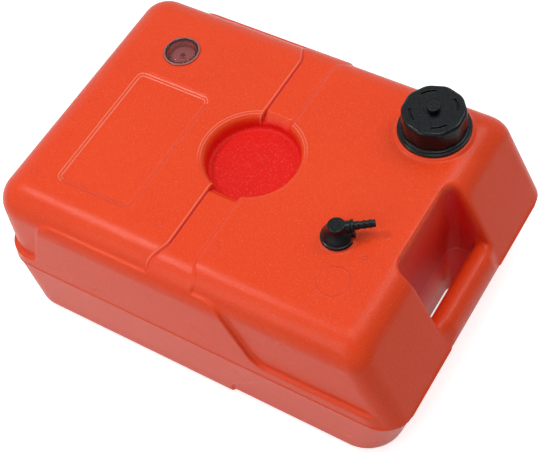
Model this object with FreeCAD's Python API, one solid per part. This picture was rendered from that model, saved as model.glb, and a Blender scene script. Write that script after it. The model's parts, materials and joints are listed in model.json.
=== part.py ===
"""Portable outboard fuel tank: a blow-moulded 30 litre tank with cap, fuel outlet and gauge.

Frame: millimetres, +Z up, origin at the middle of the tank's underside. +X points at the end
with the handle, and -Y at the long side that faces the user.
"""
import FreeCAD, Part
import math
import os

os.makedirs("parts", exist_ok=True)

Vec = FreeCAD.Vector
UP = Vec(0, 0, 1)

# --- Tank: overall form ---------------------------------------------------------------------
TANK_LENGTH = 500.0          # along X, over the parting line
TANK_WIDTH = 350.0           # along Y, over the parting line
TANK_HEIGHT = 208.0          # underside to the top face
PARTING_Z = 93.0             # height where the two mould halves meet
WALL = 4.0                   # thickness of the blown wall
EDGE_R = 34.0                # upright corners and the rounding up to the top face
HANDLE_EDGE_R = 22.0         # the two corners above the handle, between ledge and top face
HANDLE_FOOT_R = 42.0         # the two corners below it
FOOT_EDGE_R = 9.0            # rounding between the walls and the underside
UPPER_DRAFT = 1.5            # degrees, walls above the parting line
LOWER_DRAFT = 3.0            # degrees, walls below it
HANDLE_SLOPE = 21.5          # degrees from upright, end face above the handle bar
HANDLE_FOOT_SLOPE = 15.8     # the same below the handle bar
PARTING_BEAD = 0.9           # how far the parting line stands out
PARTING_BEAD_HEIGHT = 2.4

# --- Tank: raised and sunken areas -----------------------------------------------------------
PAD_INSET = 4.6              # upper side pads, behind the strap band
PAD_END_INSET = 2.6          # the same on the plain end
PAD_HANDLE_LAP = 1.2         # the band's form ends this far inside the sloped end
LOWER_PAD_INSET = 3.0        # lower side pads, behind the panel
LEDGE_END_Z = 110.0          # ledge round the plain end
LEDGE_TOP_Z = 190.0          # ledge beside the strap band
LEDGE_HANDLE_Z = 110.0       # ledge towards the handle end
LEDGE_START = 47.0           # from the plain end to where its ledge starts to climb
LEDGE_CLIMB = 27.0           # length along X over which it climbs to the top ledge
LEDGE_END_X = LEDGE_START - TANK_LENGTH / 2
LEDGE_RISE_X = LEDGE_END_X + LEDGE_CLIMB
LEDGE_FALL_X = 47.0          # where the top ledge starts to drop, front
LEDGE_BACK_FALL_X = -10.0    # the same on the back
LEDGE_DROP = 37.0            # length along X over which it drops to the handle ledge
LEDGE_BEND_R = 22.0
PANEL_TOP_Z = 86.0           # lower pads, nearer the handle, start below this height
PANEL_FOOT_Z = 22.0          # height where the panel is narrowest
PANEL_END_X = 38.0           # where the panel ends at its foot, towards the handle
PANEL_FLARE = 62.0           # how far it spreads from there up to its top
PANEL_BEND_R = 30.0

BAND_X0 = -27.0              # strap band across the tank
BAND_X1 = 6.0
BAND_DROP = 3.0              # band below the top face
BAND_RAMP = 6.0              # width of the soft ramp on its handle side
BAND_FLARE = 11.0            # extra width each side where the band turns down the walls
BAND_FLARE_Y = 132.0         # where the flare starts
BAND_FLARE_LENGTH = 28.0

RECESS_X = -9.0              # round recess in the middle of the top
RECESS_FLOOR_R = 50.0
RECESS_DEPTH = 20.0
RECESS_LIP_R = 7.5
RECESS_DRAFT = 1.2           # how much wider the wall is at the lip
RECESS_FLOOR_FILLET = 3.0
RECESS_CUTS = 3              # facets that draw the rolled lip

LABEL_FROM_END = 115.0       # from the plain end to the middle of the shallow label field
LABEL_X = LABEL_FROM_END - TANK_LENGTH / 2
LABEL_Y = -33.5
LABEL_LENGTH = 94.0
LABEL_WIDTH = 167.0
LABEL_CORNER_R = 8.0
LABEL_DEPTH = 1.4
LABEL_BEVEL = 4.0

# --- Tank: moulded handle ---------------------------------------------------------------------
GRIP_HOLE_REACH = 58.0       # from the handle end to the finger hole's inner wall, parting line
GRIP_HOLE_X = TANK_LENGTH / 2 - GRIP_HOLE_REACH
GRIP_HOLE_HALF = 57.0        # half its length along Y
GRIP_HOLE_CORNER_R = 13.0
GRIP_DRAFT = 1.0             # degrees, walls of the hole above the parting line
GRIP_FOOT_DRAFT = 3.5        # degrees, below it
GRIP_LAP = 2.0               # upper and lower pocket reach into each other
BAR_DEPTH = 29.0             # from the handle end to the finger side of the bar
BAR_INNER_X = TANK_LENGTH / 2 - BAR_DEPTH
BAR_TOP_Z = 121.0
BAR_BOTTOM_Z = 75.0
BAR_INNER_R = 10.5
BAR_OUTER_R = 10.0

# --- Filler neck and cap -------------------------------------------------------------------
CAP_FROM_END = 101.5         # from the handle end to the cap's middle
CAP_FROM_SIDE = 65.0         # from the back to the cap's middle
CAP_X = TANK_LENGTH / 2 - CAP_FROM_END
CAP_Y = TANK_WIDTH / 2 - CAP_FROM_SIDE
NECK_R = 27.0
NECK_WALL = 4.0
NECK_BOSS_R = 41.5           # raised ring under the cap's flange
NECK_BOSS_HEIGHT = 2.5
THREAD_ROOM = 1.4            # between neck and cap, where their threads run
CAP_HEIGHT = 34.0            # cap's top above the tank's top face
CAP_CEILING = 3.0
CAP_GRIP_R = 33.0            # corners of the ten-sided grip at its top
CAP_GRIP_SIDES = 10
CAP_GRIP_TAPER = 0.9         # extra radius at the grip's foot
CAP_GRIP_TURN = -87.0        # degrees, direction of one corner
CAP_GRIP_CORNER_R = 5.0
CAP_GRIP_TOP_R = 4.5
CAP_GRIP_CUTS = 3            # facets that draw the rounded top edge
CAP_FLANGE_R = 39.2
CAP_FLANGE_STEP_R = 36.6
CAP_FLANGE_GAP = 0.8         # flange above the raised ring
CAP_FLANGE_RIM = 2.8         # height of the outer step
CAP_FLANGE_HEIGHT = 5.0
CAP_SLOT_R = 24.5            # four arc slots in the top
CAP_SLOT_WIDTH = 2.0
CAP_SLOT_SWEEP = 40.0
CAP_SLOT_TURN = -50.0
CAP_SLOT_DEPTH = 1.2
CAP_SLOT_COUNT = 4
LINER_THICKNESS = 1.2
LINER_RIM_WIDTH = 1.6
LINER_RIM_DROP = 1.6
GASKET_THICKNESS = 2.8
LOOSE_FIT = 0.3              # gap round a piece that drops in
SOFT_EDGE_R = 0.8            # outer rims of moulded pieces
FINE_EDGE_R = 0.5            # their smaller edges

VENT_STEM_R = 3.5
VENT_BOSS_R = 7.5
VENT_BOSS_DROP = 9.0         # boss below the cap's ceiling
VENT_KNOB_R = 7.4
VENT_KNOB_EDGE_R = 1.4
VENT_KNOB_HEIGHT = 5.8
VENT_COIN_SLOT = 2.2
VENT_COIN_SLOT_DEPTH = 2.2
VENT_WASHER_R = 6.4
VENT_WASHER_THICKNESS = 1.2
VENT_WASHER_STAND = 0.2      # washer above the cap's top
VENT_CLIP_R = 5.6
VENT_CLIP_THICKNESS = 1.2
VENT_CLIP_BITE = 0.8         # depth of the clip's groove
VENT_TIP = 1.4               # stem below the clip
CLIP_GAP = 0.5
RUNNING_FIT = 0.05           # radial gap of a turning pin

# --- Fuel outlet -------------------------------------------------------------------------
OUTLET_FROM_END = 126.0      # from the handle end to the outlet's middle
OUTLET_FROM_SIDE = 123.0     # from the front to the outlet's middle
OUTLET_X = TANK_LENGTH / 2 - OUTLET_FROM_END
OUTLET_Y = OUTLET_FROM_SIDE - TANK_WIDTH / 2
OUTLET_TURN = 35.0           # degrees, where the hose tail points
OUTLET_BOSS_R = 18.4
OUTLET_BOSS_HEIGHT = 2.0
OUTLET_STEM_R = 8.0
OUTLET_STEM_FIT = 0.2        # screwed stem in the moulded boss
OUTLET_STEM_LENGTH = 12.0    # below the top face
OUTLET_BORE_R = 2.6
OUTLET_GASKET_R = 12.2
OUTLET_GASKET_THICKNESS = 1.5
OUTLET_HEX_FLATS = 22.0
OUTLET_HEX_HEIGHT = 3.0
NOZZLE_R = 6.0
NOZZLE_HEIGHT = 8.6
NOZZLE_BEAD = 0.35           # snap bead near the nozzle's top
NOZZLE_BEAD_HEIGHT = 1.0
NOZZLE_BEAD_DROP = 1.6
SNAP_GAP = 0.3               # axial play of the snap
O_RING_SECTION_R = 0.7
O_RING_FACETS = 6
O_RING_DROP = 5.2            # O-ring groove below the nozzle's top
ELBOW_LIP_R = 18.0
ELBOW_LIP_HEIGHT = 2.4
ELBOW_WAIST_R = 10.4
ELBOW_HEAD_R = 9.3
ELBOW_HEIGHT = 23.0          # head above the tank's top face
ELBOW_HEAD_HEIGHT = 6.5
ELBOW_SKIN = 2.2             # wall of the bell
ELBOW_HOLLOW = 4.9           # depth of the bell's hollow
ELBOW_FLARE = 7.0            # height of the bell's sloped part
ELBOW_ARM_R = 6.3
ELBOW_ARM_LENGTH = 13.6
ELBOW_ARM_Z = 16.8           # arm's axis above the top face
ELBOW_WINDOW_WIDTH = 6.5
ELBOW_WINDOW_HEIGHT = 6.5
TAIL_SHANK_R = 3.6
TAIL_COLLAR_R = 7.2
TAIL_COLLAR_LENGTH = 3.2
TAIL_NECK_R = 4.4
TAIL_NECK_LENGTH = 3.4
TAIL_BARB_R = 4.9
TAIL_BARB_DROP = 1.0
TAIL_BARB_COUNT = 3
TAIL_BARB_LENGTH = 6.1
TAIL_BARB_SLOPE = 2.4        # sloped part of each barb
TAIL_BORE_R = 2.2
TAIL_SEAL_R = 5.6
TAIL_SEAL_THICKNESS = 1.2
TAIL_SEAL_STAND = 0.2
NIPPLE_R = 4.5
NIPPLE_LENGTH = 14.0
PICKUP_WALL = 1.5
PICKUP_FOOT_Z = 15.0         # lower end of the dip tube
STRAINER_R = 8.4
STRAINER_WALL = 1.2
STRAINER_Z = 6.0             # underside of the strainer
STRAINER_TOP_Z = 34.0
STRAINER_COLLAR = 6.0
STRAINER_WINDOWS = 6
STRAINER_RIB = 2.4
MESH_THICKNESS = 0.5

# --- Fuel gauge -----------------------------------------------------------------------------
GAUGE_FROM_END = 93.4        # from the plain end to the gauge's middle
GAUGE_FROM_SIDE = 85.5       # from the back to the gauge's middle
GAUGE_X = GAUGE_FROM_END - TANK_LENGTH / 2
GAUGE_Y = TANK_WIDTH / 2 - GAUGE_FROM_SIDE
GAUGE_BORE_R = 16.4
GAUGE_SEAT_DEPTH = 1.2
LENS_R = 21.0
LENS_LIP = 1.5
LENS_STAND = 2.6             # window above the top face
LENS_THICKNESS = 1.4
LENS_RISER_R = 17.4          # raised middle of the window
LENS_SKIRT_R = 16.0
LENS_SKIRT_DROP = 14.0
GAUGE_SEAL_THICKNESS = 1.2
CARRIER_DEPTH = 2.0          # lip below the lens skirt
DIAL_DROP = 8.2              # dial's face below the top face
DIAL_THICKNESS = 0.8
DIAL_LEDGE = 1.5
POINTER_HUB_R = 3.2
POINTER_HUB_HEIGHT = 2.0
POINTER_LENGTH = 10.5
POINTER_TAIL = 4.5
POINTER_WIDTH = 1.6
POINTER_THICKNESS = 0.8
POINTER_EMPTY = -5.0         # degrees, where the needle points when the float is down
PIVOT_R = 1.5
PIVOT_COLLAR_R = 2.4
PIVOT_COLLAR_HEIGHT = 1.0
BLADE_WIDTH = 5.0            # twisted strip
BLADE_THICKNESS = 1.0
BLADE_STEP = 15.0            # degrees between its sections
GAUGE_SWEEP = 270.0          # degrees that the pointer turns over the float's travel
RAIL_R = 1.6
RAIL_SPREAD = 9.5            # rail to spindle
RAIL_SOCKET_FIT = 0.05
RAIL_FLOAT_GAP = 0.4
FOOT_Z = 10.0
FOOT_HEIGHT = 5.0
FOOT_R = 13.0
FOOT_PIVOT_DEPTH = 3.0
FLOAT_R = 15.0
FLOAT_HEIGHT = 26.0
FLOAT_STOP_GAP = 0.3
BUSH_R = 5.0
BUSH_WALL = 0.9
BUSH_WEB = 2.0
BUSH_SLOT_GAP = 0.35

# --- Heights that follow from the sizes above ------------------------------------------------
TOP = TANK_HEIGHT
CAP_TOP_Z = TOP + CAP_HEIGHT
CAP_CEILING_Z = CAP_TOP_Z - CAP_CEILING
LINER_Z = CAP_CEILING_Z - LINER_THICKNESS
NECK_LIP_Z = LINER_Z - GASKET_THICKNESS
CAP_BORE_R = NECK_R + THREAD_ROOM
CAP_FLANGE_Z = TOP + NECK_BOSS_HEIGHT + CAP_FLANGE_GAP
VENT_BOSS_Z = CAP_CEILING_Z - VENT_BOSS_DROP
VENT_KNOB_Z = CAP_TOP_Z + VENT_WASHER_STAND
VENT_CLIP_Z = VENT_BOSS_Z - CLIP_GAP - VENT_CLIP_THICKNESS
OUTLET_GASKET_Z = TOP + OUTLET_BOSS_HEIGHT
OUTLET_HEX_Z = OUTLET_GASKET_Z + OUTLET_GASKET_THICKNESS
NOZZLE_Z = OUTLET_HEX_Z + OUTLET_HEX_HEIGHT
NOZZLE_TOP_Z = NOZZLE_Z + NOZZLE_HEIGHT
ELBOW_Z = TOP + OUTLET_BOSS_HEIGHT + LOOSE_FIT
ELBOW_TOP_Z = TOP + ELBOW_HEIGHT
ARM_Z = TOP + ELBOW_ARM_Z
LENS_SKIRT_Z = TOP - LENS_SKIRT_DROP
CARRIER_Z = LENS_SKIRT_Z - CARRIER_DEPTH
LENS_BORE_R = LENS_SKIRT_R - LENS_THICKNESS
DIAL_Z = TOP - DIAL_DROP - DIAL_THICKNESS
CARRIER_FLOOR_Z = CARRIER_Z + CARRIER_DEPTH + DIAL_LEDGE
FOOT_TOP_Z = FOOT_Z + FOOT_HEIGHT
FLOAT_Z = FOOT_TOP_Z + FLOAT_STOP_GAP
FLOAT_TRAVEL = CARRIER_Z - FLOAT_STOP_GAP - FLOAT_HEIGHT - FLOAT_Z
TWIST_PER_MM = GAUGE_SWEEP / FLOAT_TRAVEL
BUSH_WEB_Z = FLOAT_Z + FLOAT_HEIGHT / 2

FAR = 400.0                  # longer than the tank in any direction that a cutter needs
CLEAR = 1.0                  # how far a cutter runs past the face that it opens


# --- Small geometry tools ------------------------------------------------------------------
def in_plan(height):
    """Places (u, v) at (x, y) on a level plane."""
    return lambda u, v: Vec(u, v, height)


def in_side(y):
    """Places (u, v) at (x, z) on an upright plane along the tank."""
    return lambda u, v: Vec(u, y, v)


def in_end(x):
    """Places (u, v) at (y, z) on an upright plane across the tank."""
    return lambda u, v: Vec(x, u, v)


def across(x, y):
    """Places (radius, height) on the upright half plane that starts at the axis (x, y)."""
    return lambda r, z: Vec(x + r, y, z)


def rounded_corner(before, here, after):
    """Start, middle and end of the arc that rounds one corner of an outline."""
    point = Vec(here[0], here[1], 0)
    radius = here[2] if len(here) > 2 else 0.0
    if radius == 0.0:
        return point, None, point
    back = (Vec(before[0], before[1], 0) - point).normalize()
    ahead = (Vec(after[0], after[1], 0) - point).normalize()
    half = back.getAngle(ahead) / 2
    bisector = (back + ahead).normalize()
    reach = radius / math.tan(half)
    middle = point + bisector * (radius / math.sin(half) - radius)
    return point + back * reach, middle, point + ahead * reach


def outline(corners, place):
    """Closed wire through (u, v) or (u, v, radius) corners, put in space by `place`."""
    arcs = []
    for index, here in enumerate(corners):
        after = corners[(index + 1) % len(corners)]
        arcs.append(rounded_corner(corners[index - 1], here, after))
    edges = []
    for index, (start, middle, end) in enumerate(arcs):
        if middle is not None:
            ends = [place(point.x, point.y) for point in (start, middle, end)]
            edges.append(Part.Arc(*ends).toShape())
        following = arcs[(index + 1) % len(arcs)][0]
        if end.distanceToPoint(following) > 1e-6:
            line = Part.LineSegment(place(end.x, end.y), place(following.x, following.y))
            edges.append(line.toShape())
    return Part.Wire(edges)


def prism(corners, place, along):
    """Solid pushed from an outline along a vector."""
    return Part.Face(outline(corners, place)).extrude(along)


def bevelled(corners, cuts):
    """The outline with each rounded corner drawn as straight cuts, for light turned pieces."""
    flat = []
    for index, here in enumerate(corners):
        start, middle, end = rounded_corner(corners[index - 1], here,
                                            corners[(index + 1) % len(corners)])
        if middle is None:
            flat.append((start.x, start.y))
            continue
        arc = Part.Arc(start, middle, end)
        points = [arc.value(arc.FirstParameter + step * (arc.LastParameter - arc.FirstParameter)
                            / cuts) for step in range(cuts + 1)]
        flat += [(point.x, point.y) for point in points]
    return flat


def turned(corners, x, y, cuts=1):
    """Solid of revolution of a (radius, height) outline about the upright axis (x, y)."""
    section = outline(bevelled(corners, cuts), across(x, y))
    return Part.Face(section).revolve(Vec(x, y, 0), UP, 360)


def ring(x, y, inner, outer, low, high):
    """Flat ring or tube with an upright axis."""
    return turned([(inner, low), (outer, low), (outer, high), (inner, high)], x, y)


def rod(x, y, radius, low, high):
    """Upright cylinder."""
    return Part.makeCylinder(radius, high - low, Vec(x, y, low))


def polygon(x, y, sides, radius, turn, corner_r=0.0):
    """Corners of a regular polygon, all rounded alike."""
    angles = [math.radians(turn + index * 360.0 / sides) for index in range(sides)]
    return [(x + radius * math.cos(angle), y + radius * math.sin(angle), corner_r)
            for angle in angles]


def plan_rectangle(x0, x1, y0, y1, radius):
    """Corners of a rectangle in plan, all rounded alike."""
    return [(x0, y0, radius), (x1, y0, radius), (x1, y1, radius), (x0, y1, radius)]


def frustum(low, high):
    """Flat-faced solid between two level rectangles, each (x0, x1, y0, y1, z)."""
    low_x0, low_x1, low_y0, low_y1, low_z = low
    high_x0, high_x1, high_y0, high_y1, high_z = high
    front = [(low_x0, low_z), (low_x1, low_z), (high_x1, high_z), (high_x0, high_z)]
    end = [(low_y0, low_z), (low_y1, low_z), (high_y1, high_z), (high_y0, high_z)]
    length = prism(front, in_side(-FAR), Vec(0, 2 * FAR, 0))
    width = prism(end, in_end(-FAR), Vec(2 * FAR, 0, 0))
    return length.common(width)


def edges_at(solid, height):
    """The edges that lie level at one height."""
    return [edge for edge in solid.Edges
            if all(abs(vertex.Z - height) < 1e-4 for vertex in edge.Vertexes)]


def uprights(solid):
    """The edges that climb from one level to another."""
    return [edge for edge in solid.Edges
            if abs(edge.Vertexes[0].Z - edge.Vertexes[-1].Z) > 1.0]


def round_edges(solid, radii):
    """The solid with its edges rounded, from pairs of an edge and its own radius."""
    sheet = FreeCAD.newDocument("rounding")
    sharp = sheet.addObject("Part::Feature", "sharp")
    sharp.Shape = solid
    rounding = sheet.addObject("Part::Fillet", "rounding")
    rounding.Base = sharp
    rounding.Edges = [(number, radius, radius) for number, edge in enumerate(solid.Edges, 1)
                      for chosen, radius in radii if chosen.isSame(edge)]
    sheet.recompute()
    rounded = rounding.Shape.copy()
    FreeCAD.closeDocument(sheet.Name)
    return rounded


def toward(x, y, turn, solid):
    """Turns a piece built along +X at the origin to its direction and moves it to (x, y)."""
    solid.rotate(Vec(0, 0, 0), UP, turn)
    solid.translate(Vec(x, y, 0))
    return solid


def along_x(corners, height):
    """Solid of revolution of a (distance, radius) outline about a level axis along +X."""
    section = outline(bevelled(corners, 1), lambda s, r: Vec(s, 0, height + r))
    return Part.Face(section).revolve(Vec(0, 0, height), Vec(1, 0, 0), 360)


def save(name, shape):
    """Writes one piece."""
    solids = shape.Solids
    piece = solids[0] if len(solids) == 1 else shape
    piece.exportStep("parts/" + name + ".step")
    state = "valid" if piece.isValid() else "NOT VALID"
    print(f"{name}: {len(solids)} solid, {piece.Volume / 1000:.2f} cm3, {state}")


# --- Tank: forms. `skin` is the distance inside the outer surface ----------------------------
def level(z, side_inset, end_inset, handle_inset, skin):
    """The walls' rectangle at one height: drafted sides, plain end and handle end."""
    away = abs(z - PARTING_Z)
    upper = z > PARTING_Z
    draft = away * math.tan(math.radians(UPPER_DRAFT if upper else LOWER_DRAFT))
    slope = math.radians(HANDLE_SLOPE if upper else HANDLE_FOOT_SLOPE)
    half = TANK_WIDTH / 2 - side_inset - draft - skin
    plain_end = -TANK_LENGTH / 2 + end_inset + draft + skin
    handle_end = TANK_LENGTH / 2 - handle_inset - away * math.tan(slope) - skin
    return plain_end, handle_end, -half, half, z


def upper_form(side_inset, end_inset, handle_inset, top_z, handle_r, skin):
    """Rounded block from the parting line up."""
    low = level(PARTING_Z, side_inset, end_inset, handle_inset, skin)
    high = level(top_z - skin, side_inset, end_inset, handle_inset, skin)
    block = frustum(low, high)
    radii = [(edge, EDGE_R - skin) for edge in edges_at(block, top_z - skin)]
    return round_edges(block, radii + corner_radii(block, handle_r, skin))


def lower_form(side_inset, skin):
    """Rounded block from the parting line down to the underside."""
    low = level(skin, side_inset, 0.0, 0.0, skin)
    high = level(PARTING_Z, side_inset, 0.0, 0.0, skin)
    sharp = frustum(low, high)
    block = round_edges(sharp, corner_radii(sharp, HANDLE_FOOT_R, skin))
    if skin == 0.0:
        return block.makeFillet(FOOT_EDGE_R, edges_at(block, skin))
    return block.makeChamfer(FOOT_EDGE_R - skin, edges_at(block, skin))


def corner_radii(block, handle_r, skin):
    """The four upright edges, each with its radius: the handle's two have their own."""
    return [(edge, (handle_r if edge.Vertexes[0].X > 0 else EDGE_R) - skin)
            for edge in uprights(block)]


def band_strip():
    """Upright prism over the strap band, flared where the band turns down the walls."""
    flare_end = BAND_FLARE_Y + BAND_FLARE_LENGTH
    corners = []
    for side in (-1, 1):
        edge = [(BAND_X0, side * BAND_FLARE_Y, BAND_FLARE_LENGTH),
                (BAND_X0 - BAND_FLARE, side * flare_end, BAND_FLARE_LENGTH),
                (BAND_X0 - BAND_FLARE, side * FAR),
                (BAND_X1 + BAND_FLARE, side * FAR),
                (BAND_X1 + BAND_FLARE, side * flare_end, BAND_FLARE_LENGTH),
                (BAND_X1, side * BAND_FLARE_Y, BAND_FLARE_LENGTH)]
        corners += edge if side < 0 else edge[::-1]
    return prism(corners, in_plan(PARTING_Z), UP * FAR)


def band_ramp():
    """Wedge that eases the band's handle side down from the top face."""
    corners = [(BAND_X1, TOP - BAND_DROP),
               (BAND_X1 + 2 * BAND_RAMP, TOP + BAND_DROP),
               (BAND_X1, TOP + BAND_DROP)]
    return prism(corners, in_side(-FAR / 2), Vec(0, FAR, 0))


def ledge_side(y, fall_x):
    """Everything below the wavy ledge on one side of the tank, which starts at this y."""
    corners = [(-FAR, PARTING_Z),
               (-FAR, LEDGE_END_Z),
               (LEDGE_END_X, LEDGE_END_Z, LEDGE_BEND_R / 2),
               (LEDGE_RISE_X, LEDGE_TOP_Z, LEDGE_BEND_R),
               (fall_x, LEDGE_TOP_Z, LEDGE_BEND_R),
               (fall_x + LEDGE_DROP, LEDGE_HANDLE_Z, LEDGE_BEND_R),
               (FAR, LEDGE_HANDLE_Z),
               (FAR, PARTING_Z)]
    return prism(corners, in_side(y), Vec(0, FAR, 0))


def upper_ledge():
    """Everything below the ledge of the upper walls, front and back."""
    return ledge_side(-FAR, LEDGE_FALL_X).fuse(ledge_side(0.0, LEDGE_BACK_FALL_X))


def lower_panel():
    """Everything on the lower walls that stands proud: a belt and the panel up to it."""
    corners = [(-FAR, PARTING_Z),
               (-FAR, -FAR),
               (PANEL_END_X, -FAR),
               (PANEL_END_X, PANEL_FOOT_Z, PANEL_BEND_R),
               (PANEL_END_X + PANEL_FLARE, PANEL_TOP_Z, PANEL_BEND_R),
               (FAR, PANEL_TOP_Z),
               (FAR, PARTING_Z)]
    return prism(corners, in_side(-FAR / 2), Vec(0, FAR, 0))


def parting_slab():
    """Level slab through the tank; its edge is the fine ridge of the parting line."""
    x0, x1, y0, y1, _ = level(PARTING_Z, 0.0, 0.0, 0.0, -PARTING_BEAD)
    corners = plan_rectangle(x0, x1, y0, y1, EDGE_R + PARTING_BEAD)
    return prism(corners, in_plan(PARTING_Z - PARTING_BEAD_HEIGHT / 2), UP * PARTING_BEAD_HEIGHT)


def tank_outside():
    """The tank's outer form: plain walls, with strap band, ledges and panels standing proud."""
    pads = upper_form(PAD_INSET, PAD_END_INSET, 0.0, TOP, HANDLE_EDGE_R, 0.0)
    band = upper_form(0.0, 0.0, PAD_HANDLE_LAP, TOP - BAND_DROP, EDGE_R, 0.0)
    raised = band.common(upper_ledge().fuse(band_strip()))
    plain = pads.cut([band_strip(), band_ramp()])
    foot = lower_form(LOWER_PAD_INSET, 0.0)
    panel = lower_form(0.0, 0.0).common(lower_panel())
    return plain.fuse([pads.common(band), raised, foot, panel,
                       parting_slab()]).removeSplitter()


def tank_cavity():
    """The room inside, one wall in from the plain walls and from the strap band's groove."""
    upper = upper_form(PAD_INSET, PAD_END_INSET, 0.0, TOP, HANDLE_FOOT_R, WALL)
    lower = lower_form(LOWER_PAD_INSET, WALL)
    strap = Part.makeBox(BAND_X1 + BAND_RAMP - BAND_X0 + 2 * WALL, 2 * FAR, FAR,
                         Vec(BAND_X0 - WALL, -FAR, TOP - BAND_DROP - WALL))
    room = upper.fuse(lower).removeSplitter()
    return room.cut([strap, grip_hole(WALL), top_recess(WALL)])


def grip_walls(away, direction, draft, skin):
    """The finger hole's rectangle at a distance above (1) or below (-1) the parting line."""
    spread = away * math.tan(math.radians(draft))
    half = GRIP_HOLE_HALF + skin + spread
    return GRIP_HOLE_X - skin - spread, FAR, -half, half, PARTING_Z + direction * away


def grip_hole(skin):
    """Finger hole and pocket of the handle, less the bar that crosses it."""
    corner = GRIP_HOLE_CORNER_R + skin
    pocket = frustum(grip_walls(-GRIP_LAP, 1, GRIP_DRAFT, skin),
                     grip_walls(TANK_HEIGHT, 1, GRIP_DRAFT, skin))
    foot = frustum(grip_walls(TANK_HEIGHT, -1, GRIP_FOOT_DRAFT, skin),
                   grip_walls(-GRIP_LAP, -1, GRIP_FOOT_DRAFT, skin))
    pocket = pocket.makeFillet(corner, uprights(pocket))
    foot = foot.makeFillet(corner, uprights(foot))
    return pocket.fuse(foot).cut(grip_bar(skin))


def grip_bar(skin):
    """Section of the handle bar, pushed across the hole."""
    slope = math.tan(math.radians(HANDLE_SLOPE))
    foot_slope = math.tan(math.radians(HANDLE_FOOT_SLOPE))
    end = TANK_LENGTH / 2 - skin
    top = BAR_TOP_Z - skin
    bottom = BAR_BOTTOM_Z + skin
    corners = [(BAR_INNER_X + skin, bottom, BAR_INNER_R - skin),
               (end - (PARTING_Z - bottom) * foot_slope, bottom, BAR_OUTER_R - skin),
               (end, PARTING_Z),
               (end - (top - PARTING_Z) * slope, top, BAR_OUTER_R - skin),
               (BAR_INNER_X + skin, top, BAR_INNER_R - skin)]
    return prism(corners, in_side(-FAR / 2), Vec(0, FAR, 0))


def top_recess(skin):
    """Round recess in the top, with a rolled lip and a ramp for the strap on each side."""
    floor = TOP - RECESS_DEPTH - skin
    lip = TOP - RECESS_LIP_R
    foot_r = RECESS_FLOOR_R + skin
    wall_r = foot_r + RECESS_DRAFT
    lip_r = max(RECESS_LIP_R - skin, 1.0)
    corners = [(0, floor),
               (foot_r, floor, RECESS_FLOOR_FILLET),
               (wall_r, lip),
               (wall_r, TOP - skin, lip_r),
               (wall_r + RECESS_LIP_R + CLEAR, TOP - skin),
               (wall_r + RECESS_LIP_R + CLEAR, TOP + RECESS_DEPTH),
               (0, TOP + RECESS_DEPTH)]
    bowl = turned(corners, RECESS_X, 0, RECESS_CUTS if skin == 0.0 else 1)
    ramp_foot = RECESS_FLOOR_R - RECESS_DEPTH / 2
    ramp_head = ramp_foot + RECESS_DEPTH
    head_z = TOP - BAND_DROP - skin
    profile = [(-ramp_head - skin, head_z), (-ramp_foot - skin, floor), (ramp_foot + skin, floor),
               (ramp_head + skin, head_z), (ramp_head + skin, TOP + RECESS_DEPTH),
               (-ramp_head - skin, TOP + RECESS_DEPTH)]
    width = BAND_X1 - BAND_X0 + 2 * skin
    ramps = prism(profile, in_end(BAND_X0 - skin), Vec(width, 0, 0))
    return bowl.fuse(ramps)


def label_field():
    """Shallow bare field with a bevelled border."""
    loops = []
    for inset, z in ((-LABEL_BEVEL, TOP + LABEL_DEPTH), (LABEL_BEVEL, TOP - LABEL_DEPTH)):
        half_x = LABEL_LENGTH / 2 - inset
        half_y = LABEL_WIDTH / 2 - inset
        corners = plan_rectangle(LABEL_X - half_x, LABEL_X + half_x,
                                 LABEL_Y - half_y, LABEL_Y + half_y, LABEL_CORNER_R - inset)
        loops.append(outline(corners, in_plan(z)))
    return Part.makeLoft(loops, True, True)


def tank_body():
    """Blown shell with neck, bosses, handle and recesses."""
    outside = tank_outside().cut([grip_hole(0.0), top_recess(0.0), label_field()])
    neck = rod(CAP_X, CAP_Y, NECK_R, TOP - WALL, NECK_LIP_Z)
    neck_boss = turned([(0, TOP - WALL), (NECK_BOSS_R, TOP - WALL),
                        (NECK_BOSS_R, TOP + NECK_BOSS_HEIGHT, NECK_BOSS_HEIGHT / 2),
                        (0, TOP + NECK_BOSS_HEIGHT)], CAP_X, CAP_Y)
    outlet_boss = turned([(0, TOP - OUTLET_STEM_LENGTH + WALL),
                          (OUTLET_STEM_R + WALL, TOP - OUTLET_STEM_LENGTH + WALL),
                          (OUTLET_STEM_R + WALL, TOP - WALL),
                          (OUTLET_BOSS_R, TOP - WALL),
                          (OUTLET_BOSS_R, TOP + OUTLET_BOSS_HEIGHT, OUTLET_BOSS_HEIGHT / 2),
                          (0, TOP + OUTLET_BOSS_HEIGHT)], OUTLET_X, OUTLET_Y)
    shell = outside.cut(tank_cavity()).fuse([neck, neck_boss, outlet_boss])
    holes = [rod(CAP_X, CAP_Y, NECK_R - NECK_WALL, TOP - 2 * WALL, NECK_LIP_Z + WALL),
             rod(OUTLET_X, OUTLET_Y, OUTLET_STEM_R + OUTLET_STEM_FIT,
                 TOP - 2 * OUTLET_STEM_LENGTH, TOP + 2 * OUTLET_BOSS_HEIGHT),
             rod(GAUGE_X, GAUGE_Y, GAUGE_BORE_R, TOP - 2 * WALL, TOP + WALL),
             rod(GAUGE_X, GAUGE_Y, LENS_R + LOOSE_FIT, TOP - GAUGE_SEAT_DEPTH, TOP + WALL)]
    return shell.cut(holes)


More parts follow.
